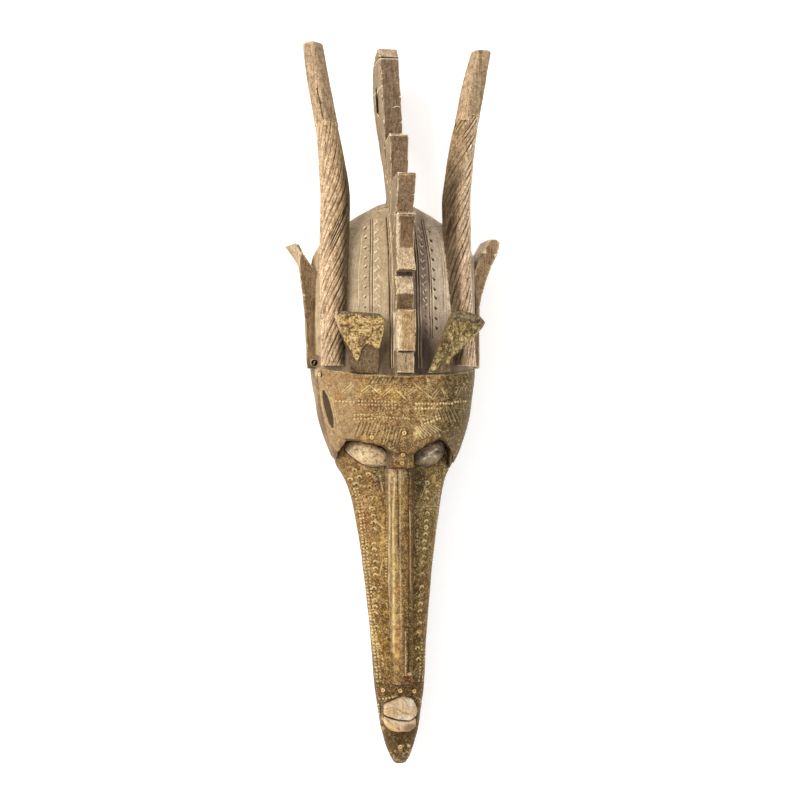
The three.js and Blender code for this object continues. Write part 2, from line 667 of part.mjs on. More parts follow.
function addPiece(name, body, material) {
  const mesh = new THREE.Mesh(geometryOf(body), material);
  mesh.name = name;
  mask.add(mesh);
}

addPiece('wood_carving', woodCarving(), wood);
addPiece('forehead_sheet', foreheadSheet(), oliveBrass);
addPiece('cheek_sheet_left', cheekSheet('left'), redBrass);
addPiece('cheek_sheet_right', cheekSheet('right'), oliveBrass);
addPiece('nose_sheet', noseSheet(), oliveBrass);
addPiece('chin_sheet', chinSheet(), oliveBrass);
for (const side of ['left', 'right']) {
  const foil = stumpPlate(STUMPS[side].foil, STUMPS[side], SHEET.gap, SHEET.gap + SHEET.thick);
  addPiece(`horn_foil_${side}`, foil, foilBrass);
  addPiece(`eye_cover_${side}`, eyeCover(EYES[side]), paleMetal);
}
for (const [name, x, y] of TACKS) addPiece(name, tack(x, y), brightBrass);
addPiece('ear_wire', earWire(), darkIron);

// Centre the mask over the origin
const box = new THREE.Box3().setFromObject(mask);
mask.position.set(-(box.min.x + box.max.x) / 2, -(box.min.y + box.max.y) / 2, 0);

export default mask;
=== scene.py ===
# A carved wooden face mask with punched brass sheets, lying on its back under a soft light.
# Forms repeat the frame's at full resolution and add carving, punched marks, crumples and wear.
# Sizes are millimetres in the part's own uncentred axes. placed() turns them into metres.
import math

import bmesh
import bpy
import numpy as np
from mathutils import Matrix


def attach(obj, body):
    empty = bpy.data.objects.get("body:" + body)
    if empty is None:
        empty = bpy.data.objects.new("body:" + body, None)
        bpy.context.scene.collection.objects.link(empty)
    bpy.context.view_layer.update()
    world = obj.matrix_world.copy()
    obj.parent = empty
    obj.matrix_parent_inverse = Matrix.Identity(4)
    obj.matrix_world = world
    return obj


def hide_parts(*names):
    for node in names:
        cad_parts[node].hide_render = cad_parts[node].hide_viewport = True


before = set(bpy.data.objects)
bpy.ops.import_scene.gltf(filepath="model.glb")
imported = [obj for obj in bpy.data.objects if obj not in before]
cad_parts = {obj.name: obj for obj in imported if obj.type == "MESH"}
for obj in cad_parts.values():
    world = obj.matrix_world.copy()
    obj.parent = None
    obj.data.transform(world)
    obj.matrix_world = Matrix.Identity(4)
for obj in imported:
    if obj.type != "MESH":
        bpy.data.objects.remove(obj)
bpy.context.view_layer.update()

MM = 0.001
CENTRE = np.array([0.48, 6.5, 0.0])

# Camera: it looks down on the mask, a little from its left
VIEW_TURN = math.radians(10)
VIEW_DISTANCE = 1600
VIEW_AIM = (6.09, 0, 45)
LENS = 72
SENSOR = 36

# Photograph: the pixel of the origin, and the height at which a pixel is a millimetre
PHOTO_X = 394
PHOTO_Y = 400
PHOTO_LEVEL = 45

# Skull cap and forehead
CROWN_Y = 197
CROWN_Z = 54
DOME_START_Y = 20
DOME_FRONT_Z = 104
DOME_SIDE_Y = 110
HEAD_LOW_Y = -80
HEAD_MIDDLE_Z = 50
HEAD_BACK = 110
HEAD_SQUARE = 2.2
HEAD_WIDTHS = [
    [-80, 47], [-64, 57], [-52, 63.5], [-40, 68], [-28, 72], [-14, 75.5], [0, 77.5], [28, 81.5],
    [110, 84], [138, 82], [156, 73], [172, 54], [188, 28], [195, 13], [197, 0],
]
BROW_HEIGHTS = [
    [-80, 80], [-66, 92], [-55, 98], [-45, 104], [-34, 107], [-15, 108], [5, 106], [26, 104],
]

# Long face below the brow
CHIN_Y = -364
FACE_MIDDLE_Z = 42
FACE_BACK = 66
FACE_SQUARE = 2.3
FACE_WIDTHS = [
    [-364, 4], [-360, 6.5], [-352, 10.5], [-340, 14.5], [-328, 17.8], [-304, 21.4], [-288, 23.9],
    [-240, 27], [-196, 31.2], [-160, 35], [-124, 40.2], [-100, 44.2], [-88, 47], [-76, 51.2],
    [-64, 57.5], [-52, 60], [10, 60],
]
FACE_HEIGHTS = [
    [-364, 44], [-356, 50], [-340, 54], [-315, 57], [-280, 58], [-240, 60], [-160, 62],
    [-120, 66], [-80, 72], [-52, 77], [10, 84],
]
AXIS_DRIFT = [
    [-364, 6.3], [-300, 5.8], [-160, 3.8], [-100, 2.4], [-60, -0.4], [-20, -1.2], [0, -1.4],
    [50, -2.4], [130, -1], [197, 0],
]
NOSE_TOP_Y = -38
NOSE_END_Y = -281
NOSE_CROWN = 1.2
NOSE_BASE = [[-281, 10.5], [-160, 12], [-60, 14.5]]
NOSE_CREST = [[-281, 8], [-160, 8.8], [-60, 10]]
NOSE_RISE = [[-281, 9], [-160, 12], [-90, 13], [-60, 10.5]]

# Hollow behind the face
HOLLOW_TOP_Y = 180
HOLLOW_CHIN_Y = -338
HOLLOW_MIDDLE_Z = 20
HOLLOW_BACK = 60
HOLLOW_WIDTHS = [
    [-338, 3], [-318, 9], [-280, 13], [-230, 17], [-160, 22.5], [-100, 32], [-76, 39], [-52, 50],
    [-28, 58], [0, 64], [28, 67], [110, 69], [138, 65], [158, 49], [172, 29], [180, 6],
]
HOLLOW_HEIGHTS = [
    [-338, 20], [-318, 38], [-280, 43], [-160, 48], [-100, 54], [-70, 62], [-45, 80], [-15, 90],
    [30, 88], [90, 82], [140, 66], [170, 44], [180, 26],
]

# Comb: side outline as [Y, Z], from the forehead over the tines to the rear board's back
COMB_THICK = 18
COMB_LEAN = [[0, 0], [180, -0.6], [215, -1], [255, -2.6], [275, -3.7], [315, -6.3], [352, -7.4]]
COMB_GROWTH = [[0, 1], [215, 1.02], [255, 1.06], [352, 1.13]]
COMB_OUTLINE = [
    [25.5, 80], [25.5, 111], [46.5, 112.5],
    [46.5, 117.5], [66, 118.5], [85.5, 121.5], [87.5, 118], [86, 112], [74, 106.5], [85, 103.5],
    [102.5, 110.5], [118.5, 104.5], [123, 104.5],
    [123.5, 118], [126, 119.5], [136, 112.5], [147, 109.5], [160, 111], [170, 115.5], [177.5, 121],
    [179.5, 117], [177, 108], [164, 97],
    [178, 105], [196, 116], [215.5, 125.5], [217.5, 122], [213, 88], [200, 85], [187, 80],
    [203, 80], [235, 84], [257, 91], [259.5, 88], [255, 62], [235, 60.5], [216, 62],
    [222, 56.5], [250, 56], [275, 61], [300, 62], [320, 60.5], [341, 57.5], [341.5, 55.5],
    [350, 50], [351, 45], [347, 32], [339, 18], [328, 10.5], [312, 7.5], [294, 8], [275, 14],
    [250, 27], [225, 41], [200, 53], [180, 40],
]
BOARD_HOLE = {"y": 300, "z": 31, "half_length": 13.5, "half_height": 7.5}

# Side horns as stations of [Y, X, Z, radius]
LEFT_HORN = {
    "ring_y": 272,
    "square_turn": 0.9,
    "twist": 0.04,
    "more_twist": -0.00005,
    "path": [
        [33, -66.3, 86, 12.6], [97, -66.3, 86, 14.2], [150, -65.2, 82, 14.8], [196, -63.8, 78, 15],
        [236, -67.4, 75, 13.2], [272, -72.2, 72, 11.2], [312, -79.4, 69.5, 10.8],
        [349, -84.8, 68, 9.8],
    ],
}
RIGHT_HORN = {
    "ring_y": 281,
    "square_turn": 1.2,
    "twist": 0.024,
    "more_twist": 0.00009,
    "path": [
        [33, 62.2, 86, 13], [97, 57.8, 86, 13.4], [150, 56.5, 82, 14.1], [190, 56.4, 78, 14.6],
        [228, 60.4, 75, 13.8], [255, 64.4, 73.5, 13], [281, 69.6, 72, 12], [316, 76.8, 69.5, 11.4],
        [347.5, 84, 68, 9.8],
    ],
}
ROPE_STRANDS = 17
ROPE_DEPTH = 0.11

# Ears: front outlines as [X, Y], and how far the tip's back edge flares out
EAR_FRONT_Z = 66
EAR_BACK_Z = 24
EAR_FLARING = [[31, 0], [126, 0], [155, 1]]
LEFT_EAR = {
    "flare": -7,
    "splay": -2.6,
    "outline": [
        [-70, 31], [-88, 31], [-88.8, 48], [-90, 80], [-92, 102], [-94.6, 118], [-95.6, 132],
        [-97, 143], [-101.5, 153.5], [-97.5, 153], [-92, 143], [-85, 135], [-77.5, 122], [-70, 105],
    ],
}
RIGHT_EAR = {
    "flare": 0,
    "splay": 0,
    "outline": [
        [66, 31], [83.4, 31], [83.2, 60], [83.6, 92], [86, 105], [89.8, 118], [95.8, 134], [102, 145],
        [104.3, 157], [100, 161], [92.5, 160.5], [85, 147], [79, 131], [72, 112], [66, 100],
    ],
}
EAR_HOLE = {"x": -82.5, "y": 36.5, "radius": 2.9, "depth": 6}

# Small horns on the forehead, and the foil on their fronts
STUMP_THICK = 15
STUMP_FOOT_Y = 25
STUMP_LIP_Y = 85
STUMPS = {
    "left": {
        "foot": 104,
        "lip": 117,
        "outline": [
            [-53, 26.5], [-26, 25.5], [-24, 50], [-20, 73], [-24.5, 82.5], [-67, 85.5], [-68, 79],
            [-58.5, 56], [-53.5, 42],
        ],
        "foil": [
            [-51, 44.6], [-48.6, 39], [-46.6, 37.4], [-44.6, 40.5], [-43.6, 46], [-41.6, 51.4],
            [-38, 54.4], [-33.8, 53], [-30.4, 50.4], [-27.6, 49], [-25.2, 50.4], [-20.6, 72.8],
            [-25, 81.8], [-66.6, 84.8], [-67.6, 79], [-58.6, 56],
        ],
        "fold": [[-68, 81], [-46, 82], [-40, 80], [-21, 79.4]],
    },
    "right": {
        "foot": 103,
        "lip": 116,
        "outline": [
            [22.5, 25.5], [46, 26.5], [48.5, 42], [53, 45], [65, 57.5], [76, 70], [78.5, 75],
            [72.5, 81.5], [53, 87], [45.5, 84], [30.5, 46],
        ],
        "foil": [
            [24.8, 29], [29, 28], [33, 31], [35, 36], [38, 37], [40.5, 33.5], [43, 34.5],
            [45, 40.5], [47, 42.4], [52, 46.6], [64, 58.8], [74.6, 70.4], [77.4, 75], [72, 80.8],
            [53, 86.2], [46.4, 83.6], [31.2, 46.4],
        ],
        "fold": [[46, 77], [56, 78], [66, 73], [78, 68]],
    },
}

# Forehead's lower edge as [X, Y], and the other edges of its brass band
BROW_LINE = [
    [-95, -95], [-60.5, -66], [-60, -50.5], [-54, -38.8], [-42, -39.3], [-29.8, -41.9],
    [-19.4, -45.2], [-11, -51], [-10.5, -66], [11, -66], [10, -51.5], [22, -42.5],
    [35.8, -37.3], [43, -40.5], [49.5, -48.5], [52, -66], [90, -95],
]
BAND_RIGHT_EDGE = [[56, -62], [66, -50], [86, -20]]
BAND_TOP_LINE = [[86, 30], [70, 27], [42, 22.8], [0, 21.4], [-42, 22.8], [-74, 28], [-79, 29]]

# Outlines for cutting: the corners of all that lies above the brow, and the room over the ground
ABOVE_BROW = [[130, -95], [130, 230], [-130, 230], [-130, -95]]
GROUND = [[-200, -400], [200, -400], [200, 400], [-200, 400]]

# Sheets: how far they stand off the wood, how thick they are and how far off it their rims end
SHEET_GAP = 0.4
SHEET_THICK = 0.45
SHEET_FOOT = 0.02

# Cheek: steps from its side to the nose, and the upper ends of its sheet and of the nose sheet
CHEEK_STEPS = 6
CHEEK_TOP_Y = -44
NOSE_SHEET_TOP_Y = -67

# Eyes, mouth and nails
EYE_OUTLINES = {
    "left": [
        (345.2, 449), (347, 443.5), (353, 440.5), (361, 440.5), (370, 442.5), (381, 447.5),
        (388, 453), (391.8, 459), (390.6, 463.2), (384.5, 465.8), (377, 467), (369.5, 466.6),
        (361, 462.8), (353.5, 457.5), (348, 453),
    ],
    "right": [
        (412, 459), (413, 453.5), (421, 445.5), (430, 440.8), (439, 439.5), (444, 443.5),
        (445, 450.5), (442, 457.5), (435, 464), (426.5, 467), (418, 465.6), (413.4, 462.4),
    ],
}
EYE_BULGE = 8.5
UPPER_LIP = [
    [-13.4, -302], [-3, -297.6], [6.5, -293.5], [16.5, -296.5], [20.5, -306], [19.5, -313],
    [13, -317.5], [1, -316], [-12.5, -311.5],
]
LOWER_LIP = [
    [-12.5, -313], [1, -317.5], [13, -319], [19.5, -315], [19.5, -323], [14, -328.5], [0, -328.5],
    [-7, -326.5], [-12, -321],
]
MOUTH_HOLE = [
    [-14.6, -300.8], [-4, -296.4], [7.7, -292.3], [17.7, -295.3], [21.7, -304.8],
    [20.7, -314.2], [20.7, -324.2], [15.2, -329.7], [-1.2, -329.7], [-8.2, -327.7], [-13.2, -322.2],
]
TACKS = {
    "tack_forehead_middle": (-1, -31.5),
    "tack_forehead_left": (-31, -35.5),
    "tack_nose_root_upper": (-1, -51.5),
    "tack_nose_root_lower": (-1, -60),
    "tack_mouth_left": (-11.5, -287.5),
    "tack_mouth_middle": (3.8, -288),
    "tack_mouth_right": (17.5, -289),
    "tack_chin": (4.6, -344),
    "tack_band_left": (-76.6, 25),
}

# Nail head as [radius, height], and how far it stands off the sheet
TACK_PROFILE = [
    (0.6, -0.6), (2.05, -0.55), (2.35, 0), (2.3, 0.5), (1.95, 1.05), (1.45, 1.25), (1.0, 1.1),
    (0.75, 0.75), (0.3, 0.62),
]
TACK_LIFT = 1.85

# Carved lines on the skull cap as [Y, X] paths, with width and depth
DOME_LINES = [
    ([[84, -32.6], [118, -32], [178, -28]], 1.1, 0.7),
    ([[84, -30.2], [118, -29.6], [178, -26]], 1.1, 0.7),
    ([[30, -13.6], [118, -13.2], [180, -12.6]], 1.2, 0.9),
    ([[30, -11.4], [118, -11.2], [180, -10.8]], 0.9, 0.6),
    ([[84, -44.6], [118, -43.6], [160, -38.5]], 0.8, 0.35),
    ([[30, 13.2], [118, 13.4], [180, 12.4]], 1.2, 0.9),
    ([[30, 16], [118, 16], [180, 14.6]], 1.2, 0.8),
    ([[60, 26.5], [118, 26.6], [178, 22.6]], 1.1, 0.8),
    ([[60, 28.9], [118, 28.8], [178, 24.6]], 1.1, 0.8),
    ([[84, 41.8], [130, 41], [160, 36.6]], 0.9, 0.45),
    ([[84, 44.2], [130, 43.2], [160, 38.8]], 0.9, 0.4),
]

# Rows of short cuts: first and last [Y, X], count, length, width, depth and slant
DOME_MARKS = [
    ([90, -36.8], [168, -33.6], 9, 3.0, 1.7, 1.0, 0.7),
    ([88, -26.4], [172, -23.6], 10, 4.4, 0.9, 0.6, 0.7),
    ([92, -23.6], [176, -21.4], 10, 3.4, 0.8, 0.5, -0.7),
    ([70, 33], [166, 29.6], 11, 3.8, 2.2, 1.4, -0.6),
    ([66, 22.2], [168, 19.4], 14, 3.8, 1.3, 0.8, -0.65),
    ([70, 24.4], [164, 21.2], 14, 2.6, 0.8, 0.5, 0.7),
]


# Smooth curves and noise
def curve(stations):
    """Smooth curve through [position, value] stations, without overshoot."""
    at, value = np.array(stations, float).T
    slopes = np.diff(value) / np.diff(at)
    before, after = slopes[:-1], slopes[1:]
    both = before * after
    total = np.where(before + after == 0, 1, before + after)
    middle = np.where(both > 0, 2 * both / total, 0)
    tangents = np.concatenate([slopes[:1], middle, slopes[-1:]])

    def evaluate(position):
        inside = np.clip(position, at[0], at[-1])
        i = np.clip(np.searchsorted(at, inside, side="right") - 1, 0, len(at) - 2)
        span = at[i + 1] - at[i]
        t = (inside - at[i]) / span
        return ((2 * t**3 - 3 * t**2 + 1) * value[i] + (t**3 - 2 * t**2 + t) * span * tangents[i]
                + (3 * t**2 - 2 * t**3) * value[i + 1] + (t**3 - t**2) * span * tangents[i + 1])

    return evaluate


axis_x = curve(AXIS_DRIFT)
head_width = curve(HEAD_WIDTHS)
brow_height = curve(BROW_HEIGHTS)
face_width = curve(FACE_WIDTHS)
face_height = curve(FACE_HEIGHTS)
nose_base = curve(NOSE_BASE)
nose_crest = curve(NOSE_CREST)
nose_rise = curve(NOSE_RISE)
comb_lean = curve(COMB_LEAN)
comb_growth = curve(COMB_GROWTH)


def lattice(i, j, k, seed):
    """Even noise from 0 to 1 at whole-number places."""
    with np.errstate(over="ignore"):
        mixed = (i.astype(np.uint32) * np.uint32(374761393)
                 + j.astype(np.uint32) * np.uint32(668265263)
                 + k.astype(np.uint32) * np.uint32(2246822519)
                 + np.uint32(seed * 3266489917 % 2**32))
        mixed = (mixed ^ (mixed >> np.uint32(13))) * np.uint32(1274126177)
    mixed = mixed ^ (mixed >> np.uint32(16))
    return mixed.astype(float) / 2**32


def noise(points, size, seed):
    """Smooth noise from -1 to 1 at an array of points."""
    place = np.asarray(points) / size
    base = np.floor(place).astype(np.int64)
    part = place - base
    part = part * part * (3 - 2 * part)
    total = 0
    for corner in range(8):
        steps = [corner & 1, corner >> 1 & 1, corner >> 2 & 1]
        weight = 1
        for axis, step in enumerate(steps):
            weight = weight * (part[..., axis] if step else 1 - part[..., axis])
        total = total + weight * lattice(*[base[..., a] + steps[a] for a in range(3)], seed)
    return 2 * total - 1


def layered(points, size, seed, layers=3):
    """Noise with finer and weaker layers on top of each other."""
    scales = [0.5**layer for layer in range(layers)]
    parts = [s * noise(points, np.asarray(size) * s, seed + i) for i, s in enumerate(scales)]
    return sum(parts) / sum(scales)


def smooth_step(value, low, high):
    t = np.clip((value - low) / (high - low), 0, 1)
    return t * t * (3 - 2 * t)


def mixed(first, second, share):
    share = np.asarray(share)[..., None]
    return np.asarray(first) * (1 - share) + np.asarray(second) * share


def chosen(where, first, second):
    """First colour where a mark per point is true, else the second."""
    return np.where(np.asarray(where)[..., None], first, second)


def full_turn(count):
    return np.linspace(0, 2 * math.pi, count, endpoint=False)


# Places on the photograph, in its pixels
def seen_from(points):
    """Pixel columns and rows at which points are seen."""
    x, y, z = np.moveaxis(np.asarray(points, float), -1, 0)
    lift = z - PHOTO_LEVEL
    nearer = 1 - lift / VIEW_DISTANCE
    seen_x = PHOTO_X + x / nearer * math.cos(VIEW_TURN) + lift * math.sin(VIEW_TURN)
    return seen_x, PHOTO_Y - y / nearer


def seen(places, height):
    """Surface places that are seen at pixels, found by going back and forth."""
    x_seen, y_seen = np.array(places, float).T
    z = np.full(len(x_seen), 60.0)
    for _ in range(12):
        lift = z - PHOTO_LEVEL
        nearer = 1 - lift / VIEW_DISTANCE
        x = (x_seen - PHOTO_X - lift * math.sin(VIEW_TURN)) / math.cos(VIEW_TURN) * nearer
        y = (PHOTO_Y - y_seen) * nearer
        z = 0.5 * z + 0.5 * height(x, y)
    return np.column_stack([x, y])


def spaced(line, pitch, height):
    """Places at an even pitch along a line of pixels."""
    path = seen(line, height)
    steps = np.linalg.norm(np.diff(path, axis=0), axis=1)
    reach = np.concatenate([[0], np.cumsum(steps)])
    at = np.arange(0, reach[-1] + 0.01, pitch)
    return np.column_stack([np.interp(at, reach, path[:, k]) for k in (0, 1)])


def jittered(places, amount, seed):
    deep = np.column_stack([places, np.full(len(places), 0.5)])
    shift = [noise(deep, 0.9, seed), noise(deep, 0.9, seed + 1)]
    return places + amount * np.column_stack(shift)


def spot(seen_x, seen_y, x, y, reach_x, reach_y):
    """Soft round share round one pixel."""
    away = np.hypot((seen_x - x) / reach_x, (seen_y - y) / reach_y)
    return 1 - smooth_step(away, 0.45, 1.15)


def spotted(tone, points, spots):
    """Tone with soft spots, each given by its pixel, reach, colour and amount."""
    seen_x, seen_y = seen_from(points)
    for x, y, reach_x, reach_y, color, amount in spots:
        tone = mixed(tone, color, amount * spot(seen_x, seen_y, x, y, reach_x, reach_y))
    return tone


# Mesh building
def placed(points):
    return (np.asarray(points, float) + CENTRE) * MM


def unplaced(points):
    return np.asarray(points, float) / MM - CENTRE


def quads(rows, columns, wrap=False):
    index = np.arange(rows * columns).reshape(rows, columns)
    if wrap:
        index = np.hstack([index, index[:, :1]])
    corners = [index[:-1, :-1], index[1:, :-1], index[1:, 1:], index[:-1, 1:]]
    return np.stack(corners, -1).reshape(-1, 4)


def tube(rings):
    """Closed mesh over rings of points, with a point in the middle of each end."""
    rows, count = rings.shape[:2]
    vertices = np.vstack([rings.reshape(-1, 3), rings[0].mean(0), rings[-1].mean(0)])
    low, high = rows * count, rows * count + 1
    last = (rows - 1) * count
    faces = quads(rows, count, wrap=True).tolist()
    for j in range(count):
        following = (j + 1) % count
        faces.append([low, j, following])
        faces.append([high, last + following, last + j])
    return vertices, faces


def add_object(name, vertices, faces):
    mesh = bpy.data.meshes.new(name)
    mesh.from_pydata(placed(vertices).tolist(), [], faces)
    mesh.validate()
    piece = bpy.data.objects.new(name, mesh)
    bpy.context.scene.collection.objects.link(piece)
    return piece


def outward(piece):
    """Turns all faces of a closed piece outward."""
    bm = bmesh.new()
    bm.from_mesh(piece.data)
    bmesh.ops.recalc_face_normals(bm, faces=bm.faces[:])
    if bm.calc_volume(signed=True) < 0:
        bmesh.ops.reverse_faces(bm, faces=bm.faces[:])
    bm.to_mesh(piece.data)
    bm.free()
    return piece


def closed(name, rings):
    return outward(add_object(name, *tube(rings)))


def combine(piece, tool, operation):
    """Applies one boolean and throws the tool away."""
    modifier = piece.modifiers.new("combine", "BOOLEAN")
    modifier.operation = operation
    modifier.solver = "MANIFOLD"
    modifier.object = tool
    graph = bpy.context.evaluated_depsgraph_get()
    old = piece.data
    result = bpy.data.meshes.new_from_object(piece.evaluated_get(graph))
    piece.modifiers.clear()
    piece.data = result
    bpy.data.meshes.remove(old)
    bpy.data.objects.remove(tool)
    return piece


def plate(outline, low, high, bevel, step):
    """Extruded outline with rounded edges, cut into a grid: points and faces."""
    bm = bmesh.new()
    bottom = bm.faces.new([bm.verts.new((x, y, low)) for x, y in outline])
    grown = bmesh.ops.extrude_face_region(bm, geom=[bottom])["geom"]
    for item in grown:
        if isinstance(item, bmesh.types.BMVert):
            item.co.z = high
    bmesh.ops.recalc_face_normals(bm, faces=bm.faces[:])
    if bevel:
        bmesh.ops.bevel(bm, geom=bm.edges[:], offset=bevel, segments=2, profile=0.6,
                        affect="EDGES", clamp_overlap=True)
    bmesh.ops.triangulate(bm, faces=bm.faces[:])
    points = np.array([v.co for v in bm.verts])
    for axis in range(3):
        normal = [float(axis == k) for k in range(3)]
        for level in np.arange(points[:, axis].min() + step, points[:, axis].max(), step):
            bmesh.ops.bisect_plane(bm, geom=bm.verts[:] + bm.edges[:] + bm.faces[:],
                                   plane_co=[level * n for n in normal], plane_no=normal, dist=1e-5)
    bmesh.ops.triangulate(bm, faces=bm.faces[:])
    bm.verts.index_update()
    vertices = np.array([v.co for v in bm.verts])
    faces = [[v.index for v in face.verts] for face in bm.faces]
    bm.free()
    return vertices, faces


def prism(outline, low, high):
    """Plain extruded outline, for cutting."""
    flat = np.array(outline, float)
    count = len(flat)
    vertices = np.vstack([np.column_stack([flat, np.full(count, z)]) for z in (low, high)])
    faces = [list(range(count))[::-1], list(range(count, 2 * count))]
    for j in range(count):
        following = (j + 1) % count
        faces.append([j, following, count + following, count + j])
    return outward(add_object("cutter", vertices, faces))


# Head
def head_front(y):
    rise = np.clip((y - DOME_START_Y) / (CROWN_Y - DOME_START_Y), 0, 1)
    dome = CROWN_Z + (DOME_FRONT_Z - CROWN_Z) * np.sqrt(1 - rise * rise)
    return np.where(y < DOME_START_Y, brow_height(y), dome)


def head_back(y):
    rise = np.clip((y - DOME_SIDE_Y) / (CROWN_Y - DOME_SIDE_Y), 0, 1)
    return HEAD_BACK * np.sqrt(1 - rise * rise)


def arched(x, y, width, front, middle, square):
    """Height of a rounded cross-section."""
    across = np.clip(np.abs(x - axis_x(y)) / np.maximum(width(y), 1e-9), 0, 1)
    return middle + (front(y) - middle) * (1 - across**square) ** (1 / square)


def head_height(x, y):
    return arched(x, y, head_width, head_front, HEAD_MIDDLE_Z, HEAD_SQUARE)


def signed_power(value, exponent):
    return np.sign(value) * np.abs(value) ** exponent


def head_rings(rows, turns):
    y, turn = np.meshgrid(rows, turns, indexing="ij")
    reach = np.where(np.sin(turn) > 0, head_front(y) - HEAD_MIDDLE_Z, head_back(y))
    x = axis_x(y) + head_width(y) * signed_power(np.cos(turn), 2 / HEAD_SQUARE)
    z = HEAD_MIDDLE_Z + reach * signed_power(np.sin(turn), 2 / HEAD_SQUARE)
    return np.stack([x, y, z], -1)


def head_solid():
    """Skull cap with its finest mesh where lines are carved."""
    fine_y, crown_y = 24, 164
    sides = np.linspace(0, 0.29 * math.pi, 18)[:-1]
    middle = np.linspace(0.29 * math.pi, 0.71 * math.pi, 128)
    back = np.linspace(math.pi, 2 * math.pi, 30)[1:-1]
    turns = np.concatenate([sides, middle, (math.pi - sides)[::-1], back])
    denser = 1 - (1 - np.linspace(0, 1, 34)) ** 1.7
    crown = crown_y + (CROWN_Y - 0.4 - crown_y) * denser
    low = np.arange(HEAD_LOW_Y, fine_y, 4.0)
    rows = np.concatenate([low, np.arange(fine_y, crown_y - 0.5, 0.95), crown])
    return closed("head", head_rings(rows, turns))


# Face
def cheek_height(x, y):
    return arched(x, y, face_width, face_height, FACE_MIDDLE_Z, FACE_SQUARE)


def nose_edges(y):
    """Half widths of the nose at its foot and at its crest."""
    base = np.minimum(nose_base(y), face_width(y) * 0.6)
    crest = np.minimum(nose_crest(y), face_width(y) * 0.45)
    return base, crest


def cheek_points(y, places):
    """Right cheek's points, from its side (0) to the nose's foot (CHEEK_STEPS)."""
    rows, columns = np.meshgrid(y, places, indexing="ij")
    foot, _ = nose_edges(rows)
    corner = np.arccos((foot / face_width(rows)) ** (FACE_SQUARE / 2))
    x = face_width(rows) * np.cos(corner * columns / CHEEK_STEPS) ** (2 / FACE_SQUARE)
    x = axis_x(rows) + x
    return np.stack([x, rows, cheek_height(x, rows)], -1)


def nose_points(y, walls, tops):
    """Nose's points from its right foot over the crest to its left foot."""
    shares = np.concatenate([walls, np.ones(len(tops)), walls[::-1]])
    signs = np.concatenate([np.ones(len(walls)), tops, -np.ones(len(walls))])
    rows, share = np.meshgrid(y, shares, indexing="ij")
    sign = np.broadcast_to(signs, rows.shape)
    base, crest = nose_edges(rows)
    x = axis_x(rows) + sign * (base + (crest - base) * share)
    on_nose = (rows > NOSE_END_Y) & (rows < NOSE_TOP_Y)
    rise = np.where(on_nose, nose_rise(rows), 0)
    foot = cheek_height(axis_x(rows) + base, rows)
    edge = cheek_height(axis_x(rows) + crest, rows) + rise
    top = cheek_height(x, rows) + rise + np.where(on_nose, NOSE_CROWN, 0) * (1 - sign**2)
    z = np.where(share < 1, foot + (edge - foot) * share, top)
    return np.stack([x, rows, z], -1)


def nose_height(x, y):
    base, crest = nose_edges(y)
    offset = np.abs(x - axis_x(y))
    share = np.clip((base - offset) / np.maximum(base - crest, 0.01), 0, 1)
    foot = cheek_height(axis_x(y) + base, y)
    edge = cheek_height(axis_x(y) + crest, y) + nose_rise(y)
    crown = NOSE_CROWN * (1 - np.clip(offset / crest, 0, 1) ** 2)
    top = cheek_height(x, y) + nose_rise(y) + crown
    return np.where(offset >= crest, foot + (edge - foot) * share, top)


def mirrored(points):
    """Left side's points of a right side's, in the order away from the nose."""
    left = points[:, ::-1].copy()
    left[..., 0] = 2 * axis_x(left[..., 1]) - left[..., 0]
    return left


def lower_arc(y, turns, width, middle, depth):
    """Rows of points on arcs round the long axis."""
    rows, turn = np.meshgrid(y, turns, indexing="ij")
    x = axis_x(rows) + width(rows) * np.cos(turn)
    return np.stack([x, rows, middle + depth(rows, turn) * np.sin(turn)], -1)


def face_solid():
    rows = np.concatenate([
        np.arange(CHIN_Y, -300, 2.5), [-291, NOSE_END_Y - 2, NOSE_END_Y + 0.5],
        np.arange(-276, -60, 4.0), [-60, -52, -38, -20, 6],
    ])
    cheek = cheek_points(rows, np.linspace(0, CHEEK_STEPS, 13))
    nose = nose_points(rows, np.linspace(0, 1, 4)[1:-1], np.linspace(1, -1, 9))
    turns = np.linspace(math.pi, 2 * math.pi, 12)[1:-1]
    back = lower_arc(rows, turns, face_width, FACE_MIDDLE_Z, lambda y, turn: FACE_BACK)
    return closed("face", np.concatenate([cheek, nose, mirrored(cheek), back], axis=1))


def hollow_solid():
    height = curve(HOLLOW_HEIGHTS)

    def depth(y, turn):
        return np.where(np.sin(turn) > 0, height(y) - HOLLOW_MIDDLE_Z, HOLLOW_BACK)

    top_rows = -60 + (HOLLOW_TOP_Y + 60) * (1 - (1 - np.linspace(0, 1, 44)) ** 1.3)
    rows = np.concatenate([np.arange(HOLLOW_CHIN_Y, -62, 6.0), top_rows])
    turns = np.linspace(0, 2 * math.pi, 53)[:-1]
    return closed("hollow", lower_arc(rows, turns, curve(HOLLOW_WIDTHS), HOLLOW_MIDDLE_Z, depth))


# Horns, comb, ears and lips
def horn_curves(horn):
    """Curves along a horn: X and Z of its middle, and its radius."""
    path = np.array(horn["path"])
    return [curve(path[:, [0, k]]) for k in (1, 2, 3)]


def horn_section(horn, rows, placed_rows, turn, share):
    """Rows of points round a horn, set at other rows where they close its tip."""
    centre_x, centre_z, radius = horn_curves(horn)
    y = np.broadcast_to(rows[:, None], turn.shape)
    placed_y = np.broadcast_to(placed_rows[:, None], turn.shape)
    reach = radius(y) * share
    return np.stack([centre_x(y) + reach * np.cos(turn), placed_y,
                     centre_z(y) + reach * np.sin(turn)], -1)


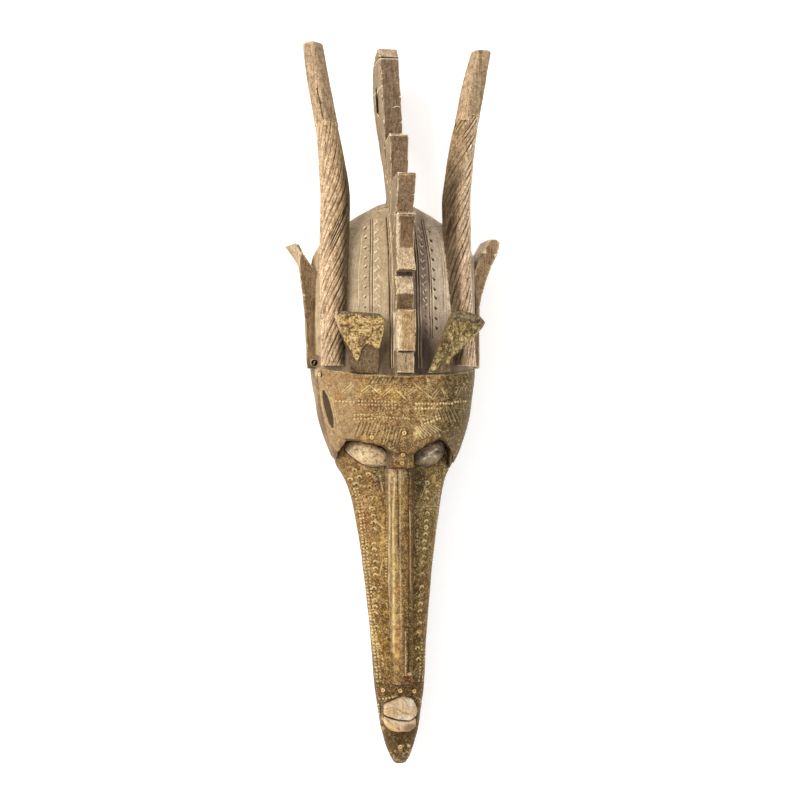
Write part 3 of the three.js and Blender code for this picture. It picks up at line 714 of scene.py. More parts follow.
def rope_solid(horn):
    """Lower part of a horn, carved as strands of a rope."""
    foot = horn["path"][0][0]
    rows = np.arange(foot, horn["ring_y"] + 0.1, 2.2)
    y, even = np.meshgrid(rows, full_turn(ROPE_STRANDS * 8), indexing="ij")
    strand = np.floor(even * ROPE_STRANDS / (2 * math.pi)).astype(int)
    along = np.stack([y, strand * 3.7, y * 0], -1)
    turn = even - horn["twist"] * (y - foot) - 0.5 * horn["more_twist"] * (y - foot) ** 2
    turn = turn + 0.05 * noise(along, [26, 1, 1], 5)
    uneven = 0.8 + 0.5 * noise(along, [34, 1, 1], 6)
    across = np.abs(even * ROPE_STRANDS / (2 * math.pi) % 1 - 0.5) * 2
    groove = smooth_step(across, 0.4, 1) ** 1.2
    second = smooth_step(noise(along, [19, 1, 1], 7), -0.3, 0.4)
    groove = groove + 0.45 * second * (1 - smooth_step(across, 0, 0.3))
    return closed("rope", horn_section(horn, rows, rows, turn, 1 - ROPE_DEPTH * uneven * groove))


def horn_solid(horn):
    ring_y, tip_y = horn["ring_y"], horn["path"][-1][0]
    rows = np.concatenate([[ring_y - 6], np.linspace(ring_y, tip_y - 2.5, 26)])
    _, turn = np.meshgrid(rows, full_turn(48), indexing="ij")
    corner = turn - horn["square_turn"]
    facets = 0.86 / (np.abs(np.cos(corner)) ** 5 + np.abs(np.sin(corner)) ** 5) ** 0.2
    rings = [horn_section(horn, rows, rows, turn, facets)]
    for further, share in [(1.2, 0.93), (2.4, 0.74)]:
        last = rows[-1:]
        rings.append(horn_section(horn, last, last + further, turn[-1:], facets[-1:] * share))
    return combine(rope_solid(horn), closed("tip", np.concatenate(rings)), "UNION")


def across_horn(points):
    """Where points lie across their own horn: -1 at its outer side, 1 at its inner side."""
    x, y = points[:, 0], points[:, 1]
    across = np.zeros(len(x))
    for horn, inward, part in ((LEFT_HORN, 1, x < 0), (RIGHT_HORN, -1, x >= 0)):
        centre_x, _, radius = horn_curves(horn)
        across = np.where(part, inward * (x - centre_x(y)) / radius(y), across)
    return across


def comb_solid():
    vertices, faces = plate(COMB_OUTLINE, -COMB_THICK / 2, COMB_THICK / 2, 1.3, 2.4)
    y, z, across = vertices.T
    moved = np.column_stack([across * comb_growth(y) + comb_lean(y), y, z])
    comb = outward(add_object("comb", moved, faces))
    hole, turn = BOARD_HOLE, full_turn(28)
    ring = np.column_stack([hole["y"] + hole["half_length"] * np.cos(turn),
                            hole["z"] + hole["half_height"] * np.sin(turn)])
    rings = [np.column_stack([np.full(len(turn), x), ring]) for x in np.arange(-40, 30, 1.5)]
    return combine(comb, closed("hole", np.stack(rings)), "DIFFERENCE")


def ear_solid(ear):
    vertices, faces = plate(ear["outline"], EAR_BACK_Z, EAR_FRONT_Z, 1.1, 5)
    depth = (EAR_FRONT_Z - vertices[:, 2]) / (EAR_FRONT_Z - EAR_BACK_Z)
    flaring = curve(EAR_FLARING)(vertices[:, 1])
    vertices[:, 0] += ear["flare"] * flaring * smooth_step(depth, 0, 1)
    low = 1 - smooth_step(vertices[:, 1], 128, 150)
    outer = smooth_step(np.abs(vertices[:, 0]), 78, 86)
    vertices[:, 0] += ear["splay"] * low * outer * (1 - 2 * depth)
    return outward(add_object("ear", vertices, faces))


def stump_height(stump, y):
    slope = (stump["lip"] - stump["foot"]) / (STUMP_LIP_Y - STUMP_FOOT_Y)
    return stump["foot"] + slope * (y - STUMP_FOOT_Y)


def stump_solid(stump):
    vertices, faces = plate(stump["outline"], -STUMP_THICK, 0, 1.2, 4)
    vertices[:, 2] += stump_height(stump, vertices[:, 1])
    return outward(add_object("stump", vertices, faces))


def lip_solid(outline, top, roundness):
    middle = np.mean(outline, axis=0)
    vertices, faces = plate(outline, 40, top, 2.4, 1.6)
    far = np.hypot((vertices[:, 0] - middle[0]) / 18, (vertices[:, 1] - middle[1]) / 12)
    vertices[:, 2] -= np.where(vertices[:, 2] > 55, roundness * far**2, 0)
    return outward(add_object("lip", vertices, faces))


def ear_hole_cutter():
    turn = full_turn(24)
    ring = np.column_stack([EAR_HOLE["x"] + EAR_HOLE["radius"] * np.cos(turn),
                            EAR_HOLE["y"] + EAR_HOLE["radius"] * np.sin(turn)])
    levels = [EAR_FRONT_Z - EAR_HOLE["depth"], EAR_FRONT_Z + EAR_HOLE["depth"]]
    return closed("cutter", np.stack([np.column_stack([ring, np.full(24, z)]) for z in levels]))


def dome_carving(x, y):
    """Depth of the carved lines and cuts of the skull cap, and their lit lips."""
    depth, lip = np.zeros((2, len(x)))
    wave = 0.25 * noise(np.stack([y, y * 0, y * 0], -1), 17.0, 9)
    for path, width, deep in DOME_LINES:
        low, high = path[0][0], path[-1][0]
        within = smooth_step(y, low - 1, low + 1) * smooth_step(-y, -high - 1, 1 - high)
        away = x - curve(path)(y) - wave
        groove = np.exp(-(away / (0.55 * width)) ** 2) * within
        depth = np.maximum(depth, deep * groove)
        lip = np.maximum(lip, 0.5 * np.exp(-((away - width) / 0.6) ** 2) * within)
    for seed, (first, last, count, length, width, deep, slant) in enumerate(DOME_MARKS):
        cosine, sine = math.cos(slant), math.sin(slant)
        for i, share in enumerate(np.linspace(0, 1, count)):
            jitter = noise(np.array([i * 7.3, seed * 5.1, 0.5]), 1.0, 21)
            from_x = x - first[1] - (last[1] - first[1]) * share - 0.3 * jitter
            from_y = y - first[0] - (last[0] - first[0]) * share - 1.2 * jitter
            along = (from_x * sine + from_y * cosine) / (length * (1 + 0.25 * jitter))
            away = from_x * cosine - from_y * sine
            half = width / 2 * np.clip(0.75 - along, 0.2, 1.2)
            within = 1 - smooth_step(np.abs(along), 0.4, 0.6)
            depth = np.maximum(depth, deep * within * np.exp(-(away / half) ** 2))
            lip = np.maximum(lip, within * np.exp(-((away + half + 0.5) / 0.55) ** 2))
    return depth, lip


def brow_cut(drop=0.0):
    """Outline of all that lies above the brow, or a little lower."""
    return (np.array(BROW_LINE, float) - [0, drop]).tolist() + ABOVE_BROW


def roughened(line, amount, seed, step=1.6):
    """Outline with more points, each moved a little."""
    line = np.array(line, float)
    points = []
    for start, end in zip(line, np.roll(line, -1, axis=0)):
        count = max(1, int(np.linalg.norm(end - start) / step))
        points += [start + (end - start) * i / count for i in range(count)]
    points = np.array(points)
    deep = np.column_stack([points, np.zeros(len(points))])
    return points + amount * np.column_stack([noise(deep, 2.2, seed), noise(deep, 2.2, seed + 1)])


def wood_carving():
    wood = combine(head_solid(), prism(brow_cut(), -20, 160), "INTERSECT")
    parts = [face_solid(), comb_solid()]
    parts += [horn_solid(horn) for horn in (LEFT_HORN, RIGHT_HORN)]
    parts += [ear_solid(ear) for ear in (LEFT_EAR, RIGHT_EAR)]
    parts += [stump_solid(stump) for stump in STUMPS.values()]
    parts += [lip_solid(UPPER_LIP, 66.5, 1.6), lip_solid(LOWER_LIP, 64, 1.4)]
    for part in parts:
        combine(wood, part, "UNION")
    combine(wood, hollow_solid(), "DIFFERENCE")
    combine(wood, ear_hole_cutter(), "DIFFERENCE")
    combine(wood, prism(GROUND, 0, 200), "INTERSECT")
    wood.name = "carving"
    return wood


# Surface of the carving: shallow adze marks and grain, then places for colour
def edge_lists(mesh):
    edges = np.zeros(len(mesh.edges) * 2, int)
    mesh.edges.foreach_get("vertices", edges)
    return edges.reshape(-1, 2)


def vertex_arrays(mesh):
    points = np.zeros(len(mesh.vertices) * 3)
    normals = np.zeros(len(mesh.vertices) * 3)
    mesh.vertices.foreach_get("co", points)
    mesh.vertices.foreach_get("normal", normals)
    return unplaced(points.reshape(-1, 3)), normals.reshape(-1, 3)


def averaged(values, edges, count, times):
    degree = np.bincount(edges.ravel(), minlength=count) + 1
    for _ in range(times):
        total = values.copy()
        np.add.at(total, edges[:, 0], values[edges[:, 1]])
        np.add.at(total, edges[:, 1], values[edges[:, 0]])
        values = total / degree
    return values


def set_value(piece, name, values):
    layer = piece.data.attributes.new(name, "FLOAT", "POINT")
    layer.data.foreach_set("value", np.asarray(values, np.float32).ravel())


def set_tone(piece, tone):
    layer = piece.data.attributes.new("tone", "FLOAT_COLOR", "POINT")
    colors = np.column_stack([np.clip(tone, 0, 1), np.ones(len(tone))])
    layer.data.foreach_set("color", colors.astype(np.float32).ravel())


def bends(points, normals, edges, count):
    """How far each point's neighbours stand above (hollow) and below (edge) its own plane."""
    span = points[edges[:, 1]] - points[edges[:, 0]]
    length = np.maximum(np.linalg.norm(span, axis=1), 1e-6)
    first = (span * normals[edges[:, 0]]).sum(1) / length
    second = -(span * normals[edges[:, 1]]).sum(1) / length
    hollow, edge = np.zeros(count), np.zeros(count)
    np.maximum.at(hollow, edges[:, 0], first)
    np.maximum.at(hollow, edges[:, 1], second)
    np.minimum.at(edge, edges[:, 0], first)
    np.minimum.at(edge, edges[:, 1], second)
    return hollow, -edge


# Colours of the wood by place
DOME_TONE = (0.44, 0.33, 0.205)
# Dome spots as pixel, reach, colour and amount; the dark ones right of the comb (421, 290) and at its
# foot between it and the small horns (423, 358 and 388, 360) are painted shade
DOME_SPOTS = [
    (421, 290, 10, 110, (0.16, 0.115, 0.088), 0.8), (392, 320, 5, 70, (0.24, 0.17, 0.1), 0.6),
    (437, 330, 9, 50, (0.2, 0.15, 0.1), 0.35), (423, 358, 14, 34, (0.05, 0.034, 0.026), 0.95),
    (388, 360, 10, 24, (0.1, 0.065, 0.038), 0.85),
]
# Comb spots: the bright strips on the left rim of the front tine (398.4, 331) and on the top and left
# rims of the second tine (404, 214 and 397.6, 232) are painted highlights, and the dark strip under the
# front tine (404, 351.5) is a painted shadow
COMB_SPOTS = [
    (398.4, 331, 2.4, 26, (0.86, 0.66, 0.42), 0.9), (404, 351.5, 12, 1.4, (0.04, 0.024, 0.012), 0.9),
    (385, 58.4, 14, 1.0, (0.02, 0.012, 0.008), 1), (404, 214, 13, 1.6, (0.86, 0.68, 0.46), 0.8),
    (397.6, 232, 1.8, 24, (0.86, 0.68, 0.46), 0.8), (394, 53, 14, 5, (0.42, 0.3, 0.19), 0.8),
]
DOME_RIGHT_TONE = (0.6, 0.475, 0.35)
SHADED_TONE = (0.12, 0.08, 0.045)
HORN_TONE = (0.45, 0.3, 0.16)
# Outward-facing sides of the horns painted lighter: painted light
HORN_LIT_OUTER_TONE = (0.56, 0.4, 0.25)
HORN_LIT_RIGHT_TONE = (0.76, 0.58, 0.4)
HORN_DARK_TONE = (0.11, 0.07, 0.038)
# Dark spot at the left horn's foot beside the small horn: painted shade
HORN_SPOTS = [(343, 352, 5.5, 22, (0.1, 0.08, 0.045), 0.8)]
TIP_TONE = (0.385, 0.262, 0.15)
EAR_FRONT_TONE = (0.2, 0.128, 0.066)
# Pale sides of the ears where they face the light: painted light
EAR_LIT_SIDE_TONE = (0.46, 0.34, 0.2)
RIGHT_EAR_TONE = (0.34, 0.22, 0.125)
RIGHT_EAR_LIT_SIDE_TONE = (0.62, 0.53, 0.43)
STUMP_TONE = (0.17, 0.11, 0.058)
STUMP_SIDE_TONE = (0.2, 0.135, 0.065)
LIP_TONE = (0.55, 0.39, 0.235)
# Lip spots; the black one at the left end (382.4, 708) is painted shade in the gap beside the lips
LIP_SPOTS = [
    (388, 728.5, 8, 3.6, (0.5, 0.31, 0.08), 0.95), (411, 728, 7, 5, (0.22, 0.14, 0.075), 0.85),
    (398.4, 729, 2, 2, (0.36, 0.08, 0.03), 0.95), (392, 712, 9, 4, (0.5, 0.34, 0.16), 0.9),
    (410, 703, 8, 6, (0.58, 0.47, 0.37), 0.8), (404, 719.6, 13, 4.5, (0.76, 0.62, 0.45), 0.85),
    (382.4, 708, 1.8, 8, (0.02, 0.012, 0.01), 0.95), (410, 729, 9, 4.4, (0.26, 0.17, 0.09), 0.85),
]
FACE_TONE = (0.165, 0.1, 0.05)
FACE_SPOTS = [(311, 402, 9, 36, (0.36, 0.235, 0.125), 0.9), (327, 452, 9, 22, (0.27, 0.17, 0.08), 0.8)]
BACK_TONE = (0.2, 0.14, 0.085)
# Painted shade under the end of the nose
BELOW_NOSE_SHADE_TONE = (0.06, 0.03, 0.015)
COMB_SIDE_TONE = (0.28, 0.195, 0.112)
# Comb front tones by Y: the light ones from 102 and 124.5 are painted light on faces turned up to the
# light, and the dark ones from 87, 119 and 146 are painted shade under overhangs
COMB_FRONT_LIT_AND_SHADED_TONES = [
    [20, (0.4, 0.285, 0.165)], [46.5, (0.42, 0.27, 0.132)], [87, (0.17, 0.108, 0.055)],
    [102, (0.5, 0.375, 0.232)], [119, (0.08, 0.055, 0.035)], [124.5, (0.48, 0.35, 0.215)],
    [146, (0.2, 0.12, 0.06)], [179, (0.26, 0.168, 0.092)], [218, (0.215, 0.137, 0.079)],
    [260, (0.185, 0.12, 0.072)], [341, (0.36, 0.26, 0.175)],
]


def paint_head(points, front):
    """Colours of the skull cap, the face's rim and the back."""
    x, y, z = points.T
    far = np.abs(x)
    tone = mixed(DOME_TONE, DOME_RIGHT_TONE, smooth_step(x, 4, 26))
    # Painted shade on the dome between the small horns and the comb, and beside the side horns
    by_stumps = smooth_step(-y, -86, -44) * smooth_step(far, 7, 12) * (1 - smooth_step(far, 50, 58))
    tone = mixed(tone, SHADED_TONE, 0.85 * by_stumps)
    by_horns = smooth_step(far, 46, 56) * smooth_step(z, 60, 80) * (y > 24)
    tone = mixed(tone, SHADED_TONE, 0.6 * by_horns)
    tone = spotted(tone, points, DOME_SPOTS)
    tone = chosen(y < np.where(z < 62, 31.5, 24), FACE_TONE, tone)
    tone = spotted(tone, points, FACE_SPOTS)
    return mixed(tone, BACK_TONE, smooth_step(-front, 0.3, 0.7))


def paint_horns(points, side, drift):
    """Outer sides painted lighter as painted light, inner sides darker low down, and plain tips."""
    x, y, _ = points.T
    left = x < 0
    outer = chosen(left, HORN_LIT_OUTER_TONE, HORN_LIT_RIGHT_TONE)
    tone = mixed(HORN_TONE, outer, smooth_step(np.where(left, -side, side), -0.1, 0.6))
    inward = across_horn(points) + 0.15 * drift - np.where(left, 0.15, -0.15)
    dark = smooth_step(inward, -0.1, 0.5) * smooth_step(-y, -270, -205)
    tone = mixed(tone, HORN_DARK_TONE, 0.92 * dark)
    ring_y = np.where(left, LEFT_HORN["ring_y"], RIGHT_HORN["ring_y"])
    tone = mixed(tone, TIP_TONE, smooth_step(y, ring_y - 1.5, ring_y + 1))
    return spotted(tone, points, HORN_SPOTS)


def paint_ears(points, normals, seen_y):
    """Sides painted pale where they face the light (painted light), darker fronts, and the hole painted
    dark as painted shade.
    """
    x, y, z = points.T
    left = x < 0
    side_tone = chosen(left, EAR_LIT_SIDE_TONE, RIGHT_EAR_LIT_SIDE_TONE)
    side_tone = mixed(side_tone, EAR_FRONT_TONE, (x > 0) * smooth_step(seen_y, 250, 275))
    front_tone = chosen(left, EAR_FRONT_TONE, RIGHT_EAR_TONE)
    tone = mixed(side_tone, front_tone, smooth_step(normals[:, 2], 0.5, 0.85))
    from_x, from_y = x - EAR_HOLE["x"], y - EAR_HOLE["y"]
    from_hole = np.hypot(from_x, from_y)
    tone = chosen((from_hole < 8) & (z > 60), EAR_FRONT_TONE, tone)
    facing = normals[:, 0] * from_x + normals[:, 1] * from_y
    # Bottom and wall of the ear hole painted near black: painted shade
    in_hole = (from_hole < 3.3) & (z < 65.6) & (z > 58) & ((facing < 0.1) | (normals[:, 2] > 0.9))
    return chosen(in_hole, 0.003, tone)


def paint_comb(points, front, comb_away):
    """Plain sides, a front painted lighter and darker from tine to tine as painted light and shade, and
    the board's hole painted dark as painted shade.
    """
    y, z = points[:, 1], points[:, 2]
    front_tone = COMB_FRONT_LIT_AND_SHADED_TONES[0][1]
    for start, color in COMB_FRONT_LIT_AND_SHADED_TONES:
        front_tone = mixed(front_tone, color, smooth_step(y, start - 0.8, start + 0.8))
    tone = mixed(COMB_SIDE_TONE, front_tone, smooth_step(front, 0.45, 0.8))
    # Inside of the board's hole painted near black: painted shade
    in_hole = np.hypot((y - BOARD_HOLE["y"]) / 14.5, (z - BOARD_HOLE["z"]) / 8.5) < 1
    tone = chosen(in_hole & (comb_away < 10.2), 0.004, tone)
    return spotted(tone, points, COMB_SPOTS)


def paint_wood(points, normals):
    """Colour of every point of the carving."""
    x, y, z = points.T
    far, side, front = np.abs(x), normals[:, 0], normals[:, 2]
    drift = layered(points, [16, 24, 16], 131)
    seen_x, seen_y = seen_from(points)
    comb_away = np.abs(x - comb_lean(y))
    above = z > head_height(x, np.minimum(y, 196)) + 1.2
    in_comb = (comb_away < 10.8) & (y > 24) & (above | (y > 197.5))
    in_horn = (y > 32) & (np.abs(across_horn(points)) < 1.2) & (z > 50) & (above | (y > 197))
    in_ear = (far > 66) & (z < 66.6) & (y > 30) & (y < 165)
    in_ear |= (seen_x < 320.5) & (seen_x > 300) & (y > 31) & (y < 122) & (z < 90)
    lip_top = np.where(x < 0, STUMPS["left"]["lip"], STUMPS["right"]["lip"])
    in_stump = (y > 24) & (y < 88) & (z > lip_top - 28 + 0.2 * (y - 25)) & (far > 20)
    flare = np.maximum(y - 42, 0)
    in_stump &= ~in_comb & above & np.where(x < 0, x > -52 - 0.34 * flare, x < 50 + 0.75 * flare)
    in_lips = (y < -290) & (y > -332) & (z > 57) & (x > -19) & (x < 24)

    tone = paint_head(points, front)
    for inside, color in [
        (in_horn, paint_horns(points, side, drift)),
        (in_ear, paint_ears(points, normals, seen_y)),
        (in_stump, mixed(STUMP_TONE, STUMP_SIDE_TONE, smooth_step(-front, -0.8, -0.4))),
        (in_comb, paint_comb(points, front, comb_away)),
        (in_lips, spotted(LIP_TONE, points, LIP_SPOTS)),
    ]:
        tone = chosen(inside, color, tone)
    # Painted shade under the end of the nose
    below_nose_shade = spot(seen_x, seen_y, 408, 681, 5, 3.4) * (z > 60)
    tone = mixed(tone, BELOW_NOSE_SHADE_TONE, below_nose_shade)
    return tone * (1 + 0.16 * drift[:, None])


def cut_surface(mesh, points, normals, on_dome):
    """Cuts adze marks, grain and lines. Gives the depth and the lit lips of the lines."""
    _, y, z = points.T
    facets = noise(points, [9, 13, 9], 41)
    grain = layered(points, [2.6, 30, 2.6], 51)
    under_sheet = (y < 24) & (z > 52)
    depth = np.where(under_sheet, 0.12, 0.3 * (1 - facets) + 0.14 * (1 - grain))
    depth = depth * smooth_step(z, 0.3, 4)
    carved, lip = np.zeros((2, len(points)))
    carved[on_dome], lip[on_dome] = dome_carving(*points[on_dome, :2].T)
    lowered = points - normals * (depth + carved)[:, None]
    mesh.vertices.foreach_set("co", placed(lowered).astype(np.float32).ravel())
    mesh.update()
    return carved, lip


def shade_and_weather_wood(piece):
    """Cuts the surface, then marks how hollow each point is (painted shade), how sharp its edges are (a
    painted highlight with wear), and its colour.
    """
    points, normals = vertex_arrays(piece.data)
    x, y, z = points.T
    on_dome = (y > 26) & (y < 186) & (np.abs(z - head_height(x, y)) < 0.05) & (normals[:, 2] > 0.15)
    carved, lip = cut_surface(piece.data, points, normals, on_dome)
    cut_points, normals = vertex_arrays(piece.data)
    edges = edge_lists(piece.data)
    count = len(points)
    hollow, edge = bends(cut_points, normals, edges, count)
    hollow = averaged(hollow, edges, count, 1)
    on_rope = (np.abs(across_horn(cut_points)) < 1.2) & (z > 60) & (y > 34) & (y < 284)
    uneven = smooth_step(noise(cut_points, [5, 26, 5], 43), -0.5, 0.4)
    hollow = np.where(on_rope, hollow * (0.55 + 0.5 * uneven), hollow)
    hollow = np.where(on_dome, 0.52 * smooth_step(carved, 0.05, 0.6), hollow)
    on_face = (y < 24) & ((z < 58) | (y > -290))
    on_tip = (np.abs(x) > 25) & (y > 284)
    by_stumps = (y > 24) & (y < 90) & (z > 88) & (np.abs(x) > 20) & ~on_rope
    by_ear_hole = np.hypot(cut_points[:, 0] - EAR_HOLE["x"], y - EAR_HOLE["y"]) < 8
    on_lips = (y < -290) & (y > -332) & (z > 58.8) & (np.abs(x - 4) < 20)
    for calm, share in [(on_rope, 0.15), (on_tip, 0.4), (on_face, 0)]:
        edge = np.where(calm, share * edge, edge)
    edge = np.where(on_dome, 0.34 * lip, edge)
    for calm, share in [(by_stumps, 0.2), (by_ear_hole, 0.2), (on_lips, 0.3)]:
        edge = np.where(calm, share * edge, edge)
    set_value(piece, "calm", averaged((on_dome | on_lips).astype(float), edges, count, 2))
    set_value(piece, "hollow", hollow)
    set_value(piece, "edge", edge)
    set_tone(piece, paint_wood(cut_points, normals))


def finish_piece(piece, nodes, material, sharp_angle):
    mesh = piece.data
    mesh.polygons.foreach_set("use_smooth", np.ones(len(mesh.polygons), bool))
    mesh.set_sharp_from_angle(angle=math.radians(sharp_angle))
    mesh.materials.clear()
    mesh.materials.append(material)
    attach(piece, "root")
    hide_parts(*nodes)


# Sheets: fine grids over the wood, trimmed by outlines
def inside_outline(x, y, outline):
    ax, ay = np.asarray(outline, float).T
    bx, by = np.roll(ax, -1), np.roll(ay, -1)
    result = np.zeros(x.shape, bool)
    for x0, y0, x1, y1 in zip(ax, ay, bx, by):
        if y0 != y1:
            crossing = (y0 > y) != (y1 > y)
            result ^= crossing & (x < (x1 - x0) * (y - y0) / (y1 - y0) + x0)
    return result


def nearest_on(points, outlines):
    """Nearest points on the outlines."""
    starts = np.vstack([np.asarray(o, float) for o in outlines])
    ends = np.vstack([np.roll(np.asarray(o, float), -1, axis=0) for o in outlines])
    best, found = np.full(len(points), np.inf), points.copy()
    for a, b in zip(starts, ends):
        span = b - a
        t = np.clip(((points - a) @ span) / max(span @ span, 1e-9), 0, 1)
        place = a + t[:, None] * span
        distance = ((points - place) ** 2).sum(1)
        closer = distance < best
        best = np.where(closer, distance, best)
        found[closer] = place[closer]
    return found


class Relief:
    """Raised and sunk marks on a grid of surface points, with how worn each point is."""

    def __init__(self, points, height):
        self.points = points
        self.height = height
        self.rows = points[:, 0, 1]
        self.rise, self.wear_and_shine, self.gold = np.zeros((3, *points.shape[:2]))
        self.tone = np.zeros(points.shape)
        self.beat = np.ones(points.shape[:2])
        self.rubbed = 0.4 + 0.6 * smooth_step(noise(points, 2.4, 17), -0.5, 0.2)

    def window(self, low, high):
        first, last = np.searchsorted(self.rows, [low, high])
        part = slice(first, last)
        return part, self.points[part, :, 0], self.points[part, :, 1]

    def add(self, part, shape, rise, wear_and_shine):
        self.rise[part] += rise * shape
        self.rub(part, shape, wear_and_shine)

    def rub(self, part, shape, wear_and_shine):
        self.wear_and_shine[part] = np.maximum(self.wear_and_shine[part], wear_and_shine * shape * self.rubbed[part])

    def beaten(self, seed, strength=1.0):
        """Fine bumps and pits all over, crowded in some places."""
        small = noise(self.points, 1.35, seed)
        crowd = smooth_step(noise(self.points, 6.5, seed + 1), -0.4, 0.3)
        self.beat[:] = strength
        self.rise += (0.05 + 0.2 * crowd * strength) * small
        bright = strength * (0.1 + 0.4 * crowd) * smooth_step(small, 0.35, 0.7)
        self.wear_and_shine = np.maximum(self.wear_and_shine, bright)

    def dented(self, depth, size, seed, high=0.52, low=-0.5):
        """Shallow dents all over, then the limits that keep the sheet near the wood."""
        self.rise = np.clip(self.rise + depth * layered(self.points, size, seed), low, high)

    def dots(self, row, pitch, jitter, seed, radius, rise, wear_and_shine=1.0, shift=(0, 0)):
        """Punched dots along a row of pixels, moved by a shift in millimetres."""
        for cx, cy in jittered(spaced(row, pitch, self.height) + shift, jitter, seed):
            part, x, y = self.window(cy - 3 * radius, cy + 3 * radius)
            away = np.hypot(x - cx, y - cy) / radius
            self.rise[part] -= 0.14 * np.exp(-((away - 1.75) / 0.5) ** 2)
            self.add(part, np.exp(-away**3), rise, wear_and_shine)

    def rings(self, places, radius, width, rise, wear_and_shine, upper=True):
        """Punched rings at pixels, or their upper arches alone."""
        for cx, cy in seen(places, self.height):
            part, x, y = self.window(cy - 2 * radius, cy + 2 * radius)
            away = np.hypot(x - cx, y - cy)
            shape = np.exp(-((away - radius) / width) ** 2)
            if upper:
                shape = shape * smooth_step(y - cy, -0.5 * radius, 0.1 * radius)
            self.rise[part] -= 0.15 * np.exp(-(away / (0.7 * radius)) ** 4)
            self.rise[part] -= 0.12 * np.exp(-((away - radius - 1.9 * width) / width) ** 2)
            self.add(part, shape, rise, wear_and_shine)

    def nicks(self, box, count, seed, length=2.0, wear_and_shine=0.4):
        """Short scratches in all directions inside a box of pixels."""
        chance = np.random.default_rng(seed)
        places = seen(chance.uniform(box[:2], box[2:], (count, 2)), self.height)
        turn = chance.uniform(0, math.pi, count)
        reach = length / 2 * np.column_stack([np.cos(turn), np.sin(turn)])
        lines = np.stack([places - reach, places + reach], axis=1)
        self.strokes(lines + [0.5, -0.5], 0.4, -0.26, 0)
        self.strokes(lines, 0.35, 0.2, wear_and_shine)

    def drawn(self, lines, width, rise, wear_and_shine, shift=(0, 0)):
        """Strokes along lines of pixels, moved by a shift in pixels."""
        for line in lines:
            self.strokes([seen(np.array(line, float) + shift, self.height)], width, rise, wear_and_shine)

    def strokes(self, lines, width, rise, wear_and_shine):
        """Raised or sunk strokes along lines in millimetres."""
        for line in lines:
            for (x0, y0), (x1, y1) in zip(line[:-1], line[1:]):
                part, x, y = self.window(min(y0, y1) - 2 * width, max(y0, y1) + 2 * width)
                span = np.array([x1 - x0, y1 - y0])
                along = ((x - x0) * span[0] + (y - y0) * span[1]) / max(span @ span, 1e-9)
                along = np.clip(along, 0, 1)
                away = np.hypot(x - x0 - along * span[0], y - y0 - along * span[1])
                shape = np.exp(-(away / width) ** 2)
                self.rise[part] += (rise - self.rise[part]) * shape
                if rise < 0:
                    self.wear_and_shine[part] *= 1 - 0.7 * shape
                self.rub(part, shape, wear_and_shine)

    def gilded(self, spots, amount=1.0):
        """Ragged rubbed spots at pixels, with their radius in millimetres."""
        for (cx, cy), (_, _, radius) in zip(seen([s[:2] for s in spots], self.height), spots):
            part, x, y = self.window(cy - 2 * radius, cy + 2 * radius)
            ragged = np.hypot(x - cx, (y - cy) * 0.7) / radius
            ragged = ragged + 0.5 * noise(self.points[part], 1.7, 77)
            shape = amount * smooth_step(-ragged, -1.0, -0.55)
            self.gold[part] = np.maximum(self.gold[part], shape)

    def spindle(self, ends, bulge):
        """Sunk spindle shape with a raised rim, between two pixels."""
        (x0, y0), (x1, y1) = seen(ends, self.height)
        part, x, y = self.window(y1 - 3, y0 + 3)
        span = np.array([x1 - x0, y1 - y0])
        t = ((x - x0) * span[0] + (y - y0) * span[1]) / (span @ span)
        away = np.abs((x - x0) * span[1] - (y - y0) * span[0]) / np.linalg.norm(span)
        half = bulge * np.sqrt(np.clip(1 - (2 * t - 1) ** 2, 0, 1))
        sunk = smooth_step(half - away, 0.0, 1.0)
        rim = np.exp(-((away - half - 0.7) / 0.5) ** 2) * ((t > -0.05) & (t < 1.05))
        self.rise[part] += 0.35 * rim - 0.5 * sunk
        self.wear_and_shine[part] = np.maximum(self.wear_and_shine[part] * (1 - sunk), 0.3 * rim)
        self.tone[part] = mixed(self.tone[part], SPINDLE_TONE, sunk)


def normals_of(points):
    along, across = np.gradient(points, axis=0), np.gradient(points, axis=1)
    normal = np.cross(across, along)
    normal /= np.maximum(np.linalg.norm(normal, axis=-1, keepdims=True), 1e-9)
    flip = np.where(normal[..., 2:] < 0, -1, 1)
    return normal * flip


